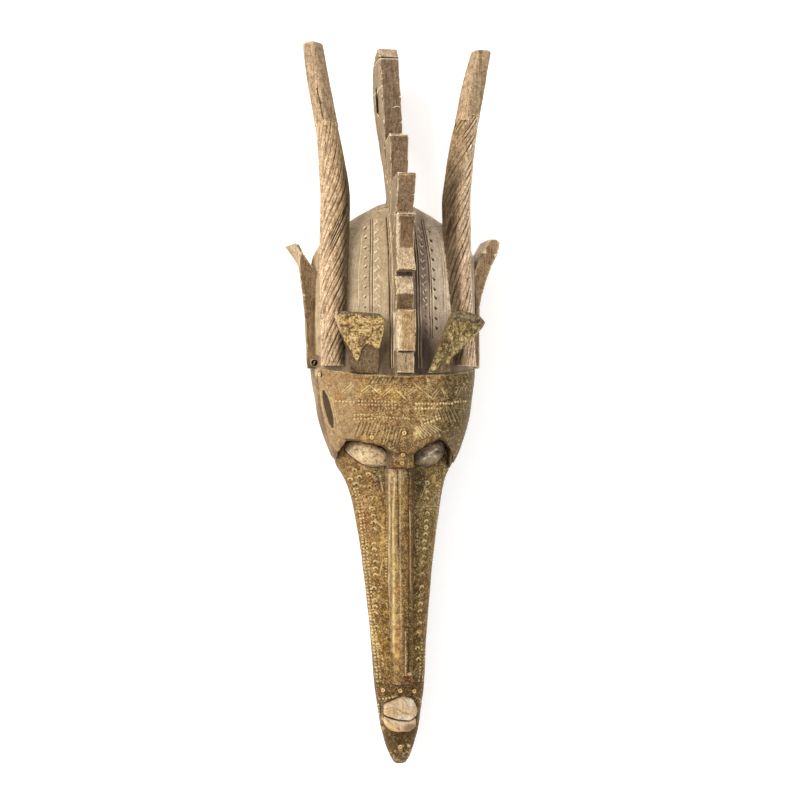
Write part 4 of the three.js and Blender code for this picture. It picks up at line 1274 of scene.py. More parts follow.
def trimmed_sheet(name, node, material, relief, keep=None, cut=()):
    """Thin closed sheet over a grid of surface points, inside keep and outside each cut."""
    points = relief.points
    x, y = points[..., 0], points[..., 1]
    inside = np.ones(x.shape, bool) if keep is None else inside_outline(x, y, keep)
    for outline in cut:
        inside &= ~inside_outline(x, y, outline)
    inside = inside.ravel()
    normals = normals_of(points).reshape(-1, 3)
    flat = points.reshape(-1, 3).copy()
    faces = quads(*x.shape)
    kept = faces[inside[faces].sum(1) >= 2]
    used = np.unique(kept)
    moved = used[~inside[used]]
    if len(moved):
        outlines = ([keep] if keep is not None else []) + list(cut)
        near = nearest_on(flat[moved, :2], outlines)
        flat[moved, :2] = near
        flat[moved, 2] = relief.height(near[:, 0], near[:, 1])
    top = (flat + normals * (SHEET_GAP + SHEET_THICK + relief.rise.reshape(-1, 1)))[used]
    order = np.full(x.size, -1)
    order[used] = np.arange(len(used))
    upper = order[kept]
    edges = np.concatenate([upper[:, [i, (i + 1) % 4]] for i in range(4)])
    keys = edges[:, 0] * len(used) + edges[:, 1]
    border = edges[~np.isin(keys, edges[:, 1] * len(used) + edges[:, 0])]
    rim = np.unique(border)
    place = np.full(len(used), -1)
    place[rim] = len(used) + np.arange(len(rim))
    first, last = border.T
    walls = np.column_stack([last, first, place[first], place[last]])
    under = (flat + normals * SHEET_FOOT)[used][rim]
    piece = add_object(name, np.vstack([top, under]), upper.tolist() + walls.tolist())
    if piece.data.polygons[len(upper) // 2].normal.z < 0:
        piece.data.flip_normals()
    for key in ("wear_and_shine", "gold", "rise", "beat"):
        values = getattr(relief, key).ravel()[used]
        set_value(piece, key, np.concatenate([values, values[rim]]))
    tone = relief.tone.reshape(-1, 3)[used]
    set_tone(piece, np.vstack([tone, tone[rim] * 0.5]))
    finish_piece(piece, [node], material, 60)


# Materials
class Shader:
    """Short words for building one material."""

    def __init__(self, name):
        self.material = bpy.data.materials.new(name)
        self.material.use_nodes = True
        self.tree = self.material.node_tree
        self.surface = self.tree.nodes["Principled BSDF"]
        self.place = self.node("TexCoord").outputs["Object"]

    def link(self, value, socket):
        if isinstance(value, bpy.types.NodeSocket):
            self.tree.links.new(value, socket)
        else:
            socket.default_value = value

    def node(self, kind, inputs=(), **settings):
        """New node with its settings, and its inputs linked or set."""
        node = self.tree.nodes.new("ShaderNode" + kind)
        for key, value in settings.items():
            setattr(node, key, value)
        for key, value in dict(inputs).items():
            self.link(value, node.inputs[key])
        return node

    def scaled(self, x, y, z):
        node = self.node("Mapping", {"Vector": self.place, "Scale": (x, y, z)})
        return node.outputs["Vector"]

    def noise(self, scale, detail, rough, vector=None, twist=0.0):
        node = self.node("TexNoise", {
            "Vector": vector or self.place, "Scale": scale, "Detail": detail,
            "Roughness": rough, "Distortion": twist,
        })
        return node.outputs["Fac"]

    def value(self, name):
        return self.node("Attribute", attribute_name=name).outputs["Fac"]

    def tone(self):
        return self.node("Attribute", attribute_name="tone").outputs["Color"]

    def ramp(self, value, stops):
        node = self.node("ValToRGB", {"Fac": value})
        for point, (at, color) in zip(node.color_ramp.elements, stops):
            point.position = at
            point.color = (*color, 1)
        return node.outputs["Color"]

    def math(self, operation, first, second, clamp=False):
        node = self.node("Math", {0: first, 1: second}, operation=operation, use_clamp=clamp)
        return node.outputs[0]

    def times(self, first, second, clamp=False):
        return self.math("MULTIPLY", first, second, clamp)

    def plus(self, first, second):
        return self.math("ADD", first, second)

    def livelier(self, shade, share):
        """Shade whose distance from 1 is scaled."""
        return self.plus(self.times(self.math("SUBTRACT", shade, 1.0), share), 1.0)

    def warm(self, value, green=1.12, blue=1.3):
        """Grey whose dark part is warmer."""
        powers = [self.math("POWER", value, power) for power in (green, blue)]
        return self.node("CombineColor", {0: value, 1: powers[0], 2: powers[1]}).outputs[0]

    def span(self, value, low, high, to_low=0.0, to_high=1.0):
        node = self.node("MapRange", {
            "Value": value, "From Min": low, "From Max": high, "To Min": to_low, "To Max": to_high,
        }, interpolation_type="SMOOTHSTEP")
        return node.outputs[0]

    def mix(self, share, first, second, kind="MIX"):
        first, second = [(*c, 1) if isinstance(c, tuple) else c for c in (first, second)]
        inputs = {0: share, 6: first, 7: second}
        return self.node("Mix", inputs, data_type="RGBA", blend_type=kind).outputs[2]

    def vector(self, operation, first, second=(0, 0, 0)):
        node = self.node("VectorMath", {0: first, 1: second}, operation=operation)
        return node.outputs["Value" if operation in ("DOT_PRODUCT", "LENGTH") else "Vector"]

    def by_line(self, start, end, width):
        """Share from 0 to 1 near a line on the front, ragged by noise."""
        first, last = placed([*start, 0]), placed([*end, 0])
        span = last - first
        flat = self.vector("MULTIPLY", self.place, (1, 1, 0))
        away = self.vector("SUBTRACT", flat, tuple(first * [1, 1, 0]))
        along = self.times(self.vector("DOT_PRODUCT", away, tuple(span)), 1 / (span @ span), True)
        reach = self.node("CombineXYZ", {k: self.times(along, span[k]) for k in (0, 1)})
        distance = self.vector("LENGTH", self.vector("SUBTRACT", away, reach.outputs[0]))
        ragged = self.times(distance, self.span(self.noise(420, 3, 0.7), 0.3, 0.7, 0.5, 1.6))
        return self.span(ragged, width * MM, width * 0.4 * MM)

    def bump(self, height, strength, distance):
        inputs = {"Strength": strength, "Distance": distance, "Height": height}
        return self.node("Bump", inputs).outputs["Normal"]

    def finish(self, color, rough, metal=0.0, normal=None, gloss=0.5, tint=(1, 1, 1)):
        inputs = {"Base Color": color, "Roughness": rough, "Metallic": metal,
                  "Specular IOR Level": gloss, "Specular Tint": (*tint, 1)}
        if normal is not None:
            inputs["Normal"] = normal
        for name, value in inputs.items():
            self.link(value, self.surface.inputs[name])
        return self.material


# Cracks, scratches and painted highlights on lit rims of the wood as [X, Y] lines, half width and colour,
# then the painted highlight of lit edges
CRACK = (0.02, 0.011, 0.005)
SCRATCH_AND_RIM_HIGHLIGHT = (0.85, 0.7, 0.5)
WRINKLE = (0.14, 0.085, 0.045)
GILDING = (0.8, 0.52, 0.16)
WOOD_LINES = [
    ([(-81.6, 302), (-78.6, 287)], 0.8, CRACK),
    ([(-78.6, 287), (-75.8, 272)], 0.7, CRACK),
    ([(-26, 339.4), (12, 340)], 0.8, CRACK),
    ([(-20, 337.8), (2, 338.2)], 0.45, SCRATCH_AND_RIM_HIGHLIGHT),
    ([(-4, 288.8), (-0.5, 290.9)], 0.45, SCRATCH_AND_RIM_HIGHLIGHT),
    ([(-0.5, 290.9), (3.2, 290)], 0.4, SCRATCH_AND_RIM_HIGHLIGHT),
    ([(-18, 308.5), (-14, 311)], 0.45, SCRATCH_AND_RIM_HIGHLIGHT),
    ([(-14.5, -305.6), (-7.7, -303.4), (-0.6, -304.2)], 0.4, WRINKLE),
    ([(-0.6, -304.2), (5.4, -308.9)], 0.45, WRINKLE),
    ([(5.4, -308.9), (11.4, -310.2)], 0.4, WRINKLE),
    ([(2.5, -293.4), (8, -297.6), (10.6, -303)], 0.35, WRINKLE),
    ([(-12.2, -317.5), (-6.7, -323.4), (1.4, -326.2)], 0.8, GILDING),
    ([(-10.5, -315.5), (-4.5, -320.6)], 0.5, WRINKLE),
    # Painted highlights on the lit top rims of three tines and on the left rim of the front tine
    ([(1.5, 178.5), (14, 178.5)], 1.1, SCRATCH_AND_RIM_HIGHLIGHT),
    ([(0.5, 217), (14, 217)], 1.1, SCRATCH_AND_RIM_HIGHLIGHT),
    ([(-1, 258.5), (12, 258.5)], 1.0, SCRATCH_AND_RIM_HIGHLIGHT),
    ([(-9.4, 48), (-9.4, 84)], 0.9, SCRATCH_AND_RIM_HIGHLIGHT),
]
LIT_EDGE = (0.86, 0.68, 0.44)
WORN_BRASS = (0.9, 0.69, 0.34)
DULL_METAL = 0.3


def wood_material():
    s = Shader("carved_wood")
    fibre = s.noise(1.0, 6, 0.7, s.scaled(600, 50, 600), 0.25)
    fine = s.noise(1.0, 4, 0.75, s.scaled(1700, 520, 1700))
    blot = s.noise(190, 7, 0.78)
    shade = s.plus(s.span(fibre, 0.34, 0.66, 0.66, 1.3), s.span(blot, 0.3, 0.7, -0.36, 0.34))
    shade = s.plus(shade, s.span(fine, 0.3, 0.7, -0.4, 0.4))
    lively = s.span(s.value("calm"), 0, 1, 1, 0.5)
    shade = s.livelier(shade, lively)
    color = s.mix(1.0, s.tone(), s.warm(s.math("MAXIMUM", shade, 0.08)), "MULTIPLY")
    # Painted shade in the hollows, then a painted highlight on convex edges, mixed with rubbed wear
    hollow = s.span(s.value("hollow"), 0.14, 0.46, 0, 0.94)
    color = s.mix(hollow, color, (0.045, 0.022, 0.008))
    wear_and_shine = s.times(s.span(s.value("edge"), 0.06, 0.22), s.span(blot, 0.32, 0.52, 0.5, 1.0))
    color = s.mix(wear_and_shine, color, LIT_EDGE)
    pits = s.times(s.span(s.noise(520, 3, 0.75), 0.58, 0.66), s.times(lively, 0.75))
    color = s.mix(pits, color, (0.05, 0.027, 0.012))
    flecks = s.times(s.span(s.noise(900, 2, 0.6), 0.6, 0.68), lively)
    color = s.mix(flecks, color, (2.0, 1.9, 1.75), "MULTIPLY")
    for line, width, tone in WOOD_LINES:
        for start, end in zip(line[:-1], line[1:]):
            color = s.mix(s.times(s.by_line(start, end, width), 0.85), color, tone)
    height = s.plus(s.times(fibre, 0.6), s.times(fine, 0.4))
    rough = s.span(blot, 0.3, 0.7, 0.6, 0.86)
    return s.finish(color, rough, 0.0, s.bump(height, 0.9, 0.0012), 0.3, (1.0, 0.86, 0.66))


def brass_material(name):
    s = Shader(name)
    cloud = s.noise(42, 5, 0.65)
    blot = s.noise(230, 6, 0.75)
    fine = s.noise(1000, 3, 0.75)
    beat = s.value("beat")
    color = s.mix(s.span(cloud, 0.5, 0.64, 0, 0.8), s.tone(), (1.0, 0.82, 0.66), "MULTIPLY")
    color = s.mix(s.span(cloud, 0.47, 0.36, 0, 0.8), color, (1.16, 1.16, 0.85), "MULTIPLY")
    shade = s.times(s.span(blot, 0.33, 0.67, 0.45, 1.5), s.span(fine, 0.33, 0.67, 0.35, 1.6))
    shade = s.livelier(shade, s.plus(s.times(beat, 0.65), 0.35))
    color = s.mix(1.0, color, s.warm(s.math("MAXIMUM", shade, 0.05), 1.1, 1.25), "MULTIPLY")
    pits = s.times(s.span(s.noise(720, 3, 0.75), 0.54, 0.61, 0, 0.92), beat)
    color = s.mix(pits, color, (0.045, 0.022, 0.007))
    flecks = s.span(s.noise(1150, 2, 0.65), 0.57, 0.64)
    flecks = s.times(s.times(flecks, s.span(blot, 0.42, 0.58, 0.15, 1)), beat)
    color = s.mix(flecks, color, (0.82, 0.6, 0.28))
    gold = s.times(s.value("gold"), s.span(fine, 0.4, 0.56, 0.75, 0.1))
    color = s.mix(gold, color, (0.72, 0.47, 0.15))
    sunk = s.span(s.value("rise"), -0.08, -0.34, 0, 0.88)
    color = s.mix(sunk, color, (0.035, 0.018, 0.006))
    marks = s.times(s.value("wear_and_shine"), s.span(fine, 0.36, 0.6, 1.0, 0.55), True)
    color = s.mix(marks, color, WORN_BRASS)
    rough = s.plus(s.span(cloud, 0.3, 0.7, 0.4, 0.55), s.span(blot, 0.4, 0.7, -0.05, 0.14))
    normal = s.bump(s.plus(blot, s.times(fine, 0.6)), 0.8, 0.0011)
    return s.finish(color, rough, DULL_METAL, normal, 0.3, (1.0, 0.78, 0.45))


def foil_material():
    s = Shader("torn_foil")
    cloud = s.noise(70, 5, 0.65)
    crumbs = s.noise(420, 6, 0.78)
    spots = s.noise(620, 3, 0.7)
    color = s.mix(s.span(cloud, 0.54, 0.62, 0, 0.85), s.tone(), (0.62, 0.42, 0.36), "MULTIPLY")
    shade = s.warm(s.span(crumbs, 0.34, 0.66, 0.16, 2.0), 1.08, 1.2)
    color = s.mix(1.0, color, shade, "MULTIPLY")
    wear_and_shine = s.times(s.value("wear_and_shine"), s.span(crumbs, 0.4, 0.6, 0.2, 0.85))
    color = s.mix(wear_and_shine, color, (0.84, 0.64, 0.32))
    color = s.mix(s.span(spots, 0.56, 0.64, 0, 0.85), color, (0.035, 0.02, 0.008))
    color = s.mix(s.span(s.value("rise"), 0.05, -0.3, 0, 0.75), color, (0.06, 0.036, 0.014))
    rough = s.span(cloud, 0.3, 0.7, 0.36, 0.55)
    return s.finish(color, rough, DULL_METAL, s.bump(crumbs, 0.9, 0.0014), 0.3)


def pale_material(name, deep, light, shine):
    s = Shader(name)
    cloud = s.noise(330, 6, 0.78)
    spots = s.noise(900, 3, 0.75)
    shade = s.warm(s.span(cloud, 0.33, 0.67, 0.6, 1.35), 1.08, 1.2)
    color = s.mix(1.0, s.tone(), shade, "MULTIPLY")
    color = s.mix(s.span(spots, 0.55, 0.64, 0, 0.6), color, deep)
    color = s.mix(s.span(spots, 0.42, 0.34, 0, 0.6), color, light)
    color = s.mix(s.span(s.value("rise"), 0.0, -0.5, 0, 0.75), color, deep)
    color = s.mix(s.value("wear_and_shine"), color, shine)
    rough = s.span(cloud, 0.3, 0.7, 0.42, 0.7)
    return s.finish(color, rough, 0.1, s.bump(cloud, 0.8, 0.0012), 0.35)


def nail_material():
    s = Shader("nail_brass")
    cloud = s.noise(300, 4, 0.7)
    color = s.ramp(cloud, [(0.35, (0.36, 0.2, 0.06)), (0.6, (0.8, 0.55, 0.21))])
    color = s.mix(s.span(s.value("rise"), 1.0, 0.55, 0, 0.9), color, (0.05, 0.03, 0.012))
    rough = s.span(cloud, 0.3, 0.7, 0.35, 0.55)
    return s.finish(color, rough, DULL_METAL, s.bump(cloud, 0.25, 0.0004))


def iron_material():
    s = Shader("rusted_iron")
    cloud = s.noise(500, 4, 0.7)
    color = s.ramp(cloud, [(0.35, (0.22, 0.19, 0.16)), (0.6, (0.6, 0.56, 0.5))])
    return s.finish(color, s.span(cloud, 0.3, 0.7, 0.4, 0.7), 0.5, s.bump(cloud, 0.3, 0.0003))


OLIVE = brass_material("olive_sheet")
COPPER = brass_material("copper_sheet")
FOIL = foil_material()
PALE = {
    "left": pale_material(
        "pale_metal_left", (0.13, 0.08, 0.04), (0.8, 0.66, 0.46), (0.9, 0.8, 0.62)),
    # The right cover's colours are darker, partly as painted shade under the brow
    "right": pale_material(
        "pale_metal_right", (0.04, 0.028, 0.016), (0.34, 0.27, 0.18), (0.8, 0.72, 0.56)),
}
NAIL = nail_material()
IRON = iron_material()
WOOD = wood_material()


# Punched brass band over the forehead, marks given by their pixels
BAND_ZIGZAG = [
    [(361.7, 391.7), (369.7, 385.4)], [(381, 395), (390.4, 387)], [(396.9, 390.6), (403.8, 398)],
    [(405.5, 394), (414.7, 387.7)], [(411.8, 382), (430.8, 398)], [(426, 377.4), (430.8, 389.4)],
    [(430.8, 397.5), (438.8, 387)], [(440, 387), (445, 396)], [(455, 395), (459, 386)],
    [(462, 389), (465, 384)], [(369.7, 385.4), (377, 392)], [(343, 392), (352, 384)],
]
BAND_DOT_ROWS = [
    [(359, 401), (396, 402)], [(359, 404.6), (396, 405.4)], [(379, 408), (396, 408)],
    [(355, 414.7), (376, 414.7)], [(355, 418.7), (376, 418.7)], [(415.8, 404), (452, 403.5)],
    [(415.8, 408.5), (441, 408.5)], [(421, 421), (440.5, 415)], [(422, 424.7), (440, 418)],
    [(455, 402), (466, 401)], [(337, 401), (355, 402.4)], [(380, 417), (412, 419)],
]
BAND_SPINDLE = {"ends": [(324.4, 389.5), (333.8, 428)], "bulge": 3.0}
BAND_SEAM = [(318.8, 371), (319.5, 380), (321.5, 395), (323, 407), (326.4, 424), (330.5, 441),
             (336, 449)]
BAND_HATCHES = [
    {"x": (354, 376), "y": (421, 435), "pitch": 3.5, "slant": 5},
    {"x": (379, 400), "y": (427, 444), "pitch": 3.5, "slant": 5},
    {"x": (368, 400), "y": (376.6, 383.5), "pitch": 4, "slant": 4},
    {"x": (444, 462), "y": (409, 422), "pitch": 3.6, "slant": -5},
]
BAND_FAN = [[(414 + 2.3 * i, 427 - 0.4 * i), (422 + 2.6 * i, 438 - 1.1 * i)] for i in range(8)]
BAND_GOLD = [(417.5, 433, 4.6), (402.6, 433, 2.5), (374.3, 437.7, 2.2), (439, 377, 1.6),
             (420, 405, 3.2), (434, 406, 2.6), (446, 404, 2.4), (364, 438, 3), (388, 436, 2.4)]
BAND_CONTOUR = [(327.5, 386), (332, 396), (335.5, 408), (338, 420), (338.5, 432)]

# Colours of the sheets by place
BAND_PLAIN_TONE = (0.32, 0.205, 0.1)
BAND_TONE = (0.27, 0.155, 0.062)
BAND_RIGHT_TONE = (0.115, 0.077, 0.034)
BAND_RIM_TONE = (0.26, 0.22, 0.16)
SPINDLE_TONE = (0.17, 0.115, 0.062)
# Band spots; the dark one at the right of the nose root (408, 458) is painted shade
BAND_SPOTS = [
    (381, 403, 26, 10, (0.2, 0.1, 0.042), 0.5),
    (390, 394, 15, 10, (0.36, 0.21, 0.055), 0.75), (376, 409, 15, 7, (0.2, 0.1, 0.042), 0.6),
    (385, 379.5, 20, 4, (0.13, 0.07, 0.032), 0.8), (404, 446, 14, 6, (0.15, 0.085, 0.035), 0.6),
    (417, 433, 4.5, 7, (0.6, 0.47, 0.22), 0.85), (348, 445, 12, 4.5, (0.15, 0.095, 0.045), 0.6),
    (438, 430, 12, 8, (0.09, 0.06, 0.028), 0.6), (438.5, 377.5, 2, 2, (0.4, 0.12, 0.03), 0.8),
    (396, 456, 5, 7, (0.33, 0.215, 0.1), 0.8), (408, 458, 4, 7, (0.1, 0.06, 0.028), 0.7),
    (401, 460, 3, 3, (0.5, 0.32, 0.1), 0.7),
]
CHEEK_TONES = {
    "left": [(0.25, 0.135, 0.046), (0.195, 0.1, 0.024)],
    "right": [(0.19, 0.12, 0.042), (0.17, 0.095, 0.024)],
}
# Cheek spots; the dark ones beside the nose, left (381, 477) and right (418, 480 and 414, 540), are
# painted shade
CHEEK_SPOTS = {
    "left": [(381, 477, 9.5, 15, (0.075, 0.045, 0.02), 0.9), (383, 540, 3.5, 20, (0.42, 0.27, 0.08), 0.7),
             (366, 520, 5, 14, (0.24, 0.1, 0.045), 0.7), (372, 635, 7, 14, (0.34, 0.22, 0.06), 0.6),
             (384, 500, 3, 12, (0.17, 0.09, 0.04), 0.6), (374, 680, 16, 18, (0.13, 0.07, 0.026), 0.8)],
    "right": [(418, 480, 11, 20, (0.06, 0.037, 0.018), 0.9), (414, 540, 4, 90, (0.075, 0.04, 0.016), 0.7),
              (433, 479, 5, 6, (0.32, 0.22, 0.06), 0.6), (436, 500, 6, 12, (0.22, 0.17, 0.09), 0.5),
              (424, 680, 12, 18, (0.12, 0.065, 0.025), 0.8)],
}
NOSE_WALL_TONE = (0.22, 0.145, 0.075)
NOSE_LEFT_TONE = (0.31, 0.19, 0.08)
NOSE_TONE = (0.165, 0.088, 0.03)
NOSE_SHADE_TONE = (0.075, 0.04, 0.015)
# Nose spots; the dark red strip at the nose's end (407, 678) is painted shade under it
NOSE_SPOTS = [
    (397, 474, 9, 14, (0.42, 0.32, 0.19), 0.8), (403, 500, 3.5, 22, (0.36, 0.24, 0.09), 0.7),
    (402, 560, 4, 14, (0.16, 0.075, 0.035), 0.7), (389, 590, 2.5, 60, (0.4, 0.31, 0.2), 0.7),
    (397, 650, 3.4, 34, (0.36, 0.18, 0.05), 0.8), (408, 640, 5, 50, (0.1, 0.06, 0.02), 0.8),
    (391, 664, 6, 26, (0.15, 0.088, 0.032), 0.9), (399.5, 545, 2.6, 22, (0.11, 0.06, 0.04), 0.7),
    (390, 622, 3.5, 20, (0.26, 0.18, 0.09), 0.6), (395, 674, 10, 12, (0.15, 0.085, 0.03), 0.85),
    (407, 678, 4.6, 1.7, (0.15, 0.008, 0.008), 0.95), (409.5, 674, 2.4, 2.2, (0.62, 0.42, 0.24), 0.85),
]
CHIN_TONE = (0.095, 0.045, 0.013)
FOIL_TONE = {"left": (0.52, 0.34, 0.13), "right": (0.31, 0.22, 0.085)}
FOIL_FOLD_TONE = (0.19, 0.14, 0.07)
FOIL_SPOTS = [
    (361, 342, 5, 7, (0.2, 0.095, 0.045), 0.85), (349, 326, 5, 4, (0.24, 0.125, 0.05), 0.6),
    (369, 322, 4, 8, (0.62, 0.42, 0.17), 0.7), (346, 316, 8, 3, (0.28, 0.17, 0.07), 0.6),
    (447, 345, 5, 9, (0.2, 0.14, 0.05), 0.6), (463, 326, 5, 6, (0.38, 0.27, 0.1), 0.7),
]
CHEEK_SEAMS = {"left": [(357, 505.5), (372.5, 504.5)], "right": [(414.5, 505), (440.5, 504.5)]}


def band_tone(points):
    ragged = points[..., 0] + 7 * layered(points, [12, 12, 12], 141)
    tone = mixed(BAND_PLAIN_TONE, BAND_TONE, smooth_step(ragged, -52, -36))
    tone = mixed(tone, BAND_RIGHT_TONE, smooth_step(ragged, 22, 50))
    tone = spotted(tone, points, BAND_SPOTS)
    return mixed(tone, BAND_RIM_TONE, smooth_step(points[..., 0], 72, 80))


def hatch(relief, block):
    """Slanted strokes side by side, each with a sunk one beside it."""
    (x0, x1), (y0, y1) = block["x"], block["y"]
    for i, at in enumerate(np.arange(x0, x1, block["pitch"])):
        bend = 0.7 * math.sin(2.3 * i)
        line = [(at + bend, y1), (at + block["slant"], y0 + bend)]
        relief.drawn([line], 0.55, -0.25, 0, (1.5, 0.6))
        relief.drawn([line], 0.36, 0.26, 0.5)


def band_sheet():
    rings = head_rings(np.arange(-67, 33.5, 0.52), np.linspace(0.0, math.pi, 400))
    relief = Relief(rings, head_height)
    relief.tone = band_tone(rings)
    relief.beaten(150, 0.4 + 0.6 * smooth_step(rings[..., 0], -46, -32))
    for row in BAND_DOT_ROWS:
        bright = row[0][0] > 410
        relief.dots(row, 3.1, 0.45, 61, 1.05 if bright else 0.85, 0.4, 1.5 if bright else 0.95)
    relief.nicks((352, 384, 440, 446), 90, 181, 2.4)
    relief.nicks((400, 405, 436, 446), 40, 182, 3.2, 0.8)
    relief.drawn(BAND_ZIGZAG, 0.7, -0.3, 0.0, (0.95, 0.6))
    relief.drawn(BAND_ZIGZAG, 0.4, 0.3, 1.1)
    relief.drawn(BAND_ZIGZAG, 0.36, 0.26, 0.9, (1.9, 1.2))
    for block in BAND_HATCHES:
        hatch(relief, block)
    relief.drawn(BAND_FAN, 0.5, 0.3, 1.0)
    relief.spindle(BAND_SPINDLE["ends"], BAND_SPINDLE["bulge"])
    relief.drawn([BAND_CONTOUR], 0.45, 0.2, 0.4)
    top = np.array(BAND_TOP_LINE, float) + [0, 2.1]
    relief.strokes([top - [0, 0.9]], 0.45, 0.3, 0.55)
    relief.strokes([np.array(BROW_LINE[3:-3], float) + [0, 0.6]], 1.3, -0.26, 0)
    relief.gilded(BAND_GOLD, 0.8)
    relief.dented(0.16, [14, 14, 14], 71, low=-0.55)
    seam = seen(BAND_SEAM, head_height)
    edges = BROW_LINE[2:-2] + BAND_RIGHT_EDGE + top.tolist()[:-1] + seam.tolist()
    trimmed_sheet("brow_band", "forehead_sheet", OLIVE, relief,
                  keep=roughened(edges, 0.3, 81))


# Cheek sheets
LEFT_ARCHES = [
    (368.5, 474), (370, 487), (371, 498), (372, 508.6), (373.7, 516), (374, 522.5), (373.7, 529),
    (374.4, 544), (374.6, 549.5), (375.4, 555), (375.8, 562), (376, 568.5), (376, 575),
    (374.5, 588), (375.6, 600), (375.6, 606.5), (375.6, 613), (377, 627), (378.7, 645),
    (355, 470), (360, 477), (351, 479), (363, 468), (357, 484),
]
LEFT_BORDER = [(355, 488), (359, 504), (361.5, 519), (363, 535), (365, 557), (367, 577),
               (371, 612), (375, 650), (379, 690)]
LEFT_NOSE_ROW = [(386.6, 492), (387.4, 520), (387, 550), (386, 580)]
LEFT_GOLD = [(383, 517, 2.6), (383.5, 540, 3.6), (370, 614, 2.4), (371, 630, 2.6), (375.5, 640, 2.8),
             (376, 650, 2.4), (352, 474, 2.2), (366, 500, 1.8), (385, 560, 2), (379, 596, 1.8)]
LEFT_LINES = [[(375, 519), (383.5, 528)], [(379, 470), (383, 492)], [(383, 560), (380, 575)]]
RIGHT_ARCHES = [
    (427, 483), (427, 493), (426, 499), (425, 506.5), (427, 514), (426, 522), (425.6, 527.5),
    (425, 535), (424, 542), (424, 550), (423.5, 558), (422.8, 563), (422, 575), (421.5, 588),
    (420.4, 596), (420, 604.5), (419.6, 612), (419, 624), (417, 634), (417, 649), (437, 487),
    (436, 497), (418, 660),
]
RIGHT_DOTS = [[(444, 466), (443, 476)], [(421.5, 640), (418, 690)], [(425, 640), (421, 690)],
              [(417, 530), (417, 554)], [(440, 480), (436, 520), (431, 580), (427, 632)]]
RIGHT_GOLD = [(433.4, 478.5, 2.6), (425.6, 527.5, 1.8), (421, 604, 2), (429, 545, 1.8),
              (420, 560, 1.6), (436, 512, 1.6)]


def punch_left_cheek(relief):
    relief.nicks((350, 466, 386, 500), 34, 183)
    relief.nicks((366, 500, 387, 680), 60, 184)
    relief.rings(LEFT_ARCHES, 1.8, 0.55, 0.45, 1.1)
    relief.dots(LEFT_BORDER, 3.4, 0.5, 62, 0.85, 0.45)
    relief.dots(LEFT_BORDER, 3.4, 0.5, 63, 0.75, 0.42, shift=(2.6, 0.8))
    relief.dots(LEFT_NOSE_ROW, 3.0, 0, 0, 0.85, 0.4)
    relief.drawn(LEFT_LINES, 0.6, 0.3, 0.8)


def punch_right_cheek(relief):
    relief.nicks((416, 502, 436, 516), 26, 185, 2.6, 0.8)
    relief.nicks((414, 520, 430, 682), 60, 186)
    relief.nicks((413.5, 508, 421, 600), 60, 189, 1.4, 0.8)
    relief.drawn([[(425.5, 485), (421, 497), (417, 504)]], 0.5, 0.3, 0.8)
    relief.rings(RIGHT_ARCHES, 1.8, 0.62, 0.45, 1.5)
    relief.rings([(425.6, 527.5), (427, 483)], 1.7, 0.6, 0.45, 1.4, upper=False)
    for row in RIGHT_DOTS:
        relief.dots(row, 3.4, 0.2, 64, 0.9, 0.38)


def cheek_sheet(side):
    left = side == "left"
    rows = np.arange(NOSE_END_Y, CHEEK_TOP_Y, 0.56)
    points = cheek_points(rows, np.linspace(0.3, CHEEK_STEPS - 0.04, 94))
    points = mirrored(points) if left else points
    relief = Relief(points, cheek_height)
    upper, lower = CHEEK_TONES[side]
    tone = mixed(upper, lower, smooth_step(-points[..., 1], 130, 210))
    relief.tone = spotted(tone, points, CHEEK_SPOTS[side])
    relief.beaten(152)
    if left:
        punch_left_cheek(relief)
    else:
        punch_right_cheek(relief)
    relief.drawn([CHEEK_SEAMS[side]], 0.5, -0.16, 0)
    relief.drawn([CHEEK_SEAMS[side]], 0.45, 0.2, 0.4, (0, 1.4))
    relief.gilded(LEFT_GOLD if left else RIGHT_GOLD)
    relief.dented(0.2, [11, 16, 11], 72)
    slot, material = ("red_brass", COPPER) if left else ("olive_brass", OLIVE)
    trimmed_sheet("cheek_" + side, "cheek_sheet_" + side, material, relief,
                  cut=[eye_outline(side, 1.04), brow_cut(1.0)])


def eye_outline(side, growth=1.0):
    """Rounded outline of one eye cover."""
    line = roughened(seen(EYE_OUTLINES[side], cheek_height), 0, 1, 0.5)
    for _ in range(8):
        line = (np.roll(line, 1, axis=0) + 2 * line + np.roll(line, -1, axis=0)) / 4
    middle = line.mean(0)
    return middle + (line - middle) * growth


# Nose sheet, folded over the ridge, with lines as [path, width, rise, wear]
NOSE_LINES = [
    ([(394.6, 478), (393.6, 520), (394.4, 560), (394.2, 615), (394.6, 652)], 0.8, 0.4, 0.75),
    ([(390.4, 474), (390.6, 520), (390, 560), (389, 610), (387, 640)], 0.6, 0.35, 0.9),
    ([(392.2, 474), (391.9, 520), (392.2, 560)], 0.5, -0.16, 0),
    ([(397.4, 470), (398.2, 505), (398.6, 545)], 0.9, -0.36, 0),
    ([(398.8, 556), (399.6, 600), (400, 676)], 0.7, -0.16, 0),
    ([(400.2, 468), (400.3, 560), (401.4, 640)], 0.5, 0.3, 0.45),
    ([(408.2, 468), (408.6, 560), (408.4, 672)], 0.9, -0.24, 0),
    ([(409.4, 510), (410, 534)], 0.42, 0.25, 0.8),
    ([(410, 534), (410.4, 590)], 0.45, 0.25, 0.5),
    ([(405.4, 632), (405.6, 675)], 0.5, 0.28, 0.9),
    ([(399, 468), (407, 466.4)], 0.7, -0.35, 0),
]
NOSE_GOLD = [(397, 625, 2.6), (397, 640, 3.2), (397.3, 655, 3), (397.5, 668, 3), (391, 650, 1.4),
             (388.6, 659, 1.4), (403, 560, 1.2)]
NOSE_CHIP = [[2.5, -290], [11, -290], [12, -277.5], [8.5, -275.6], [5, -277.2], [2.8, -279]]


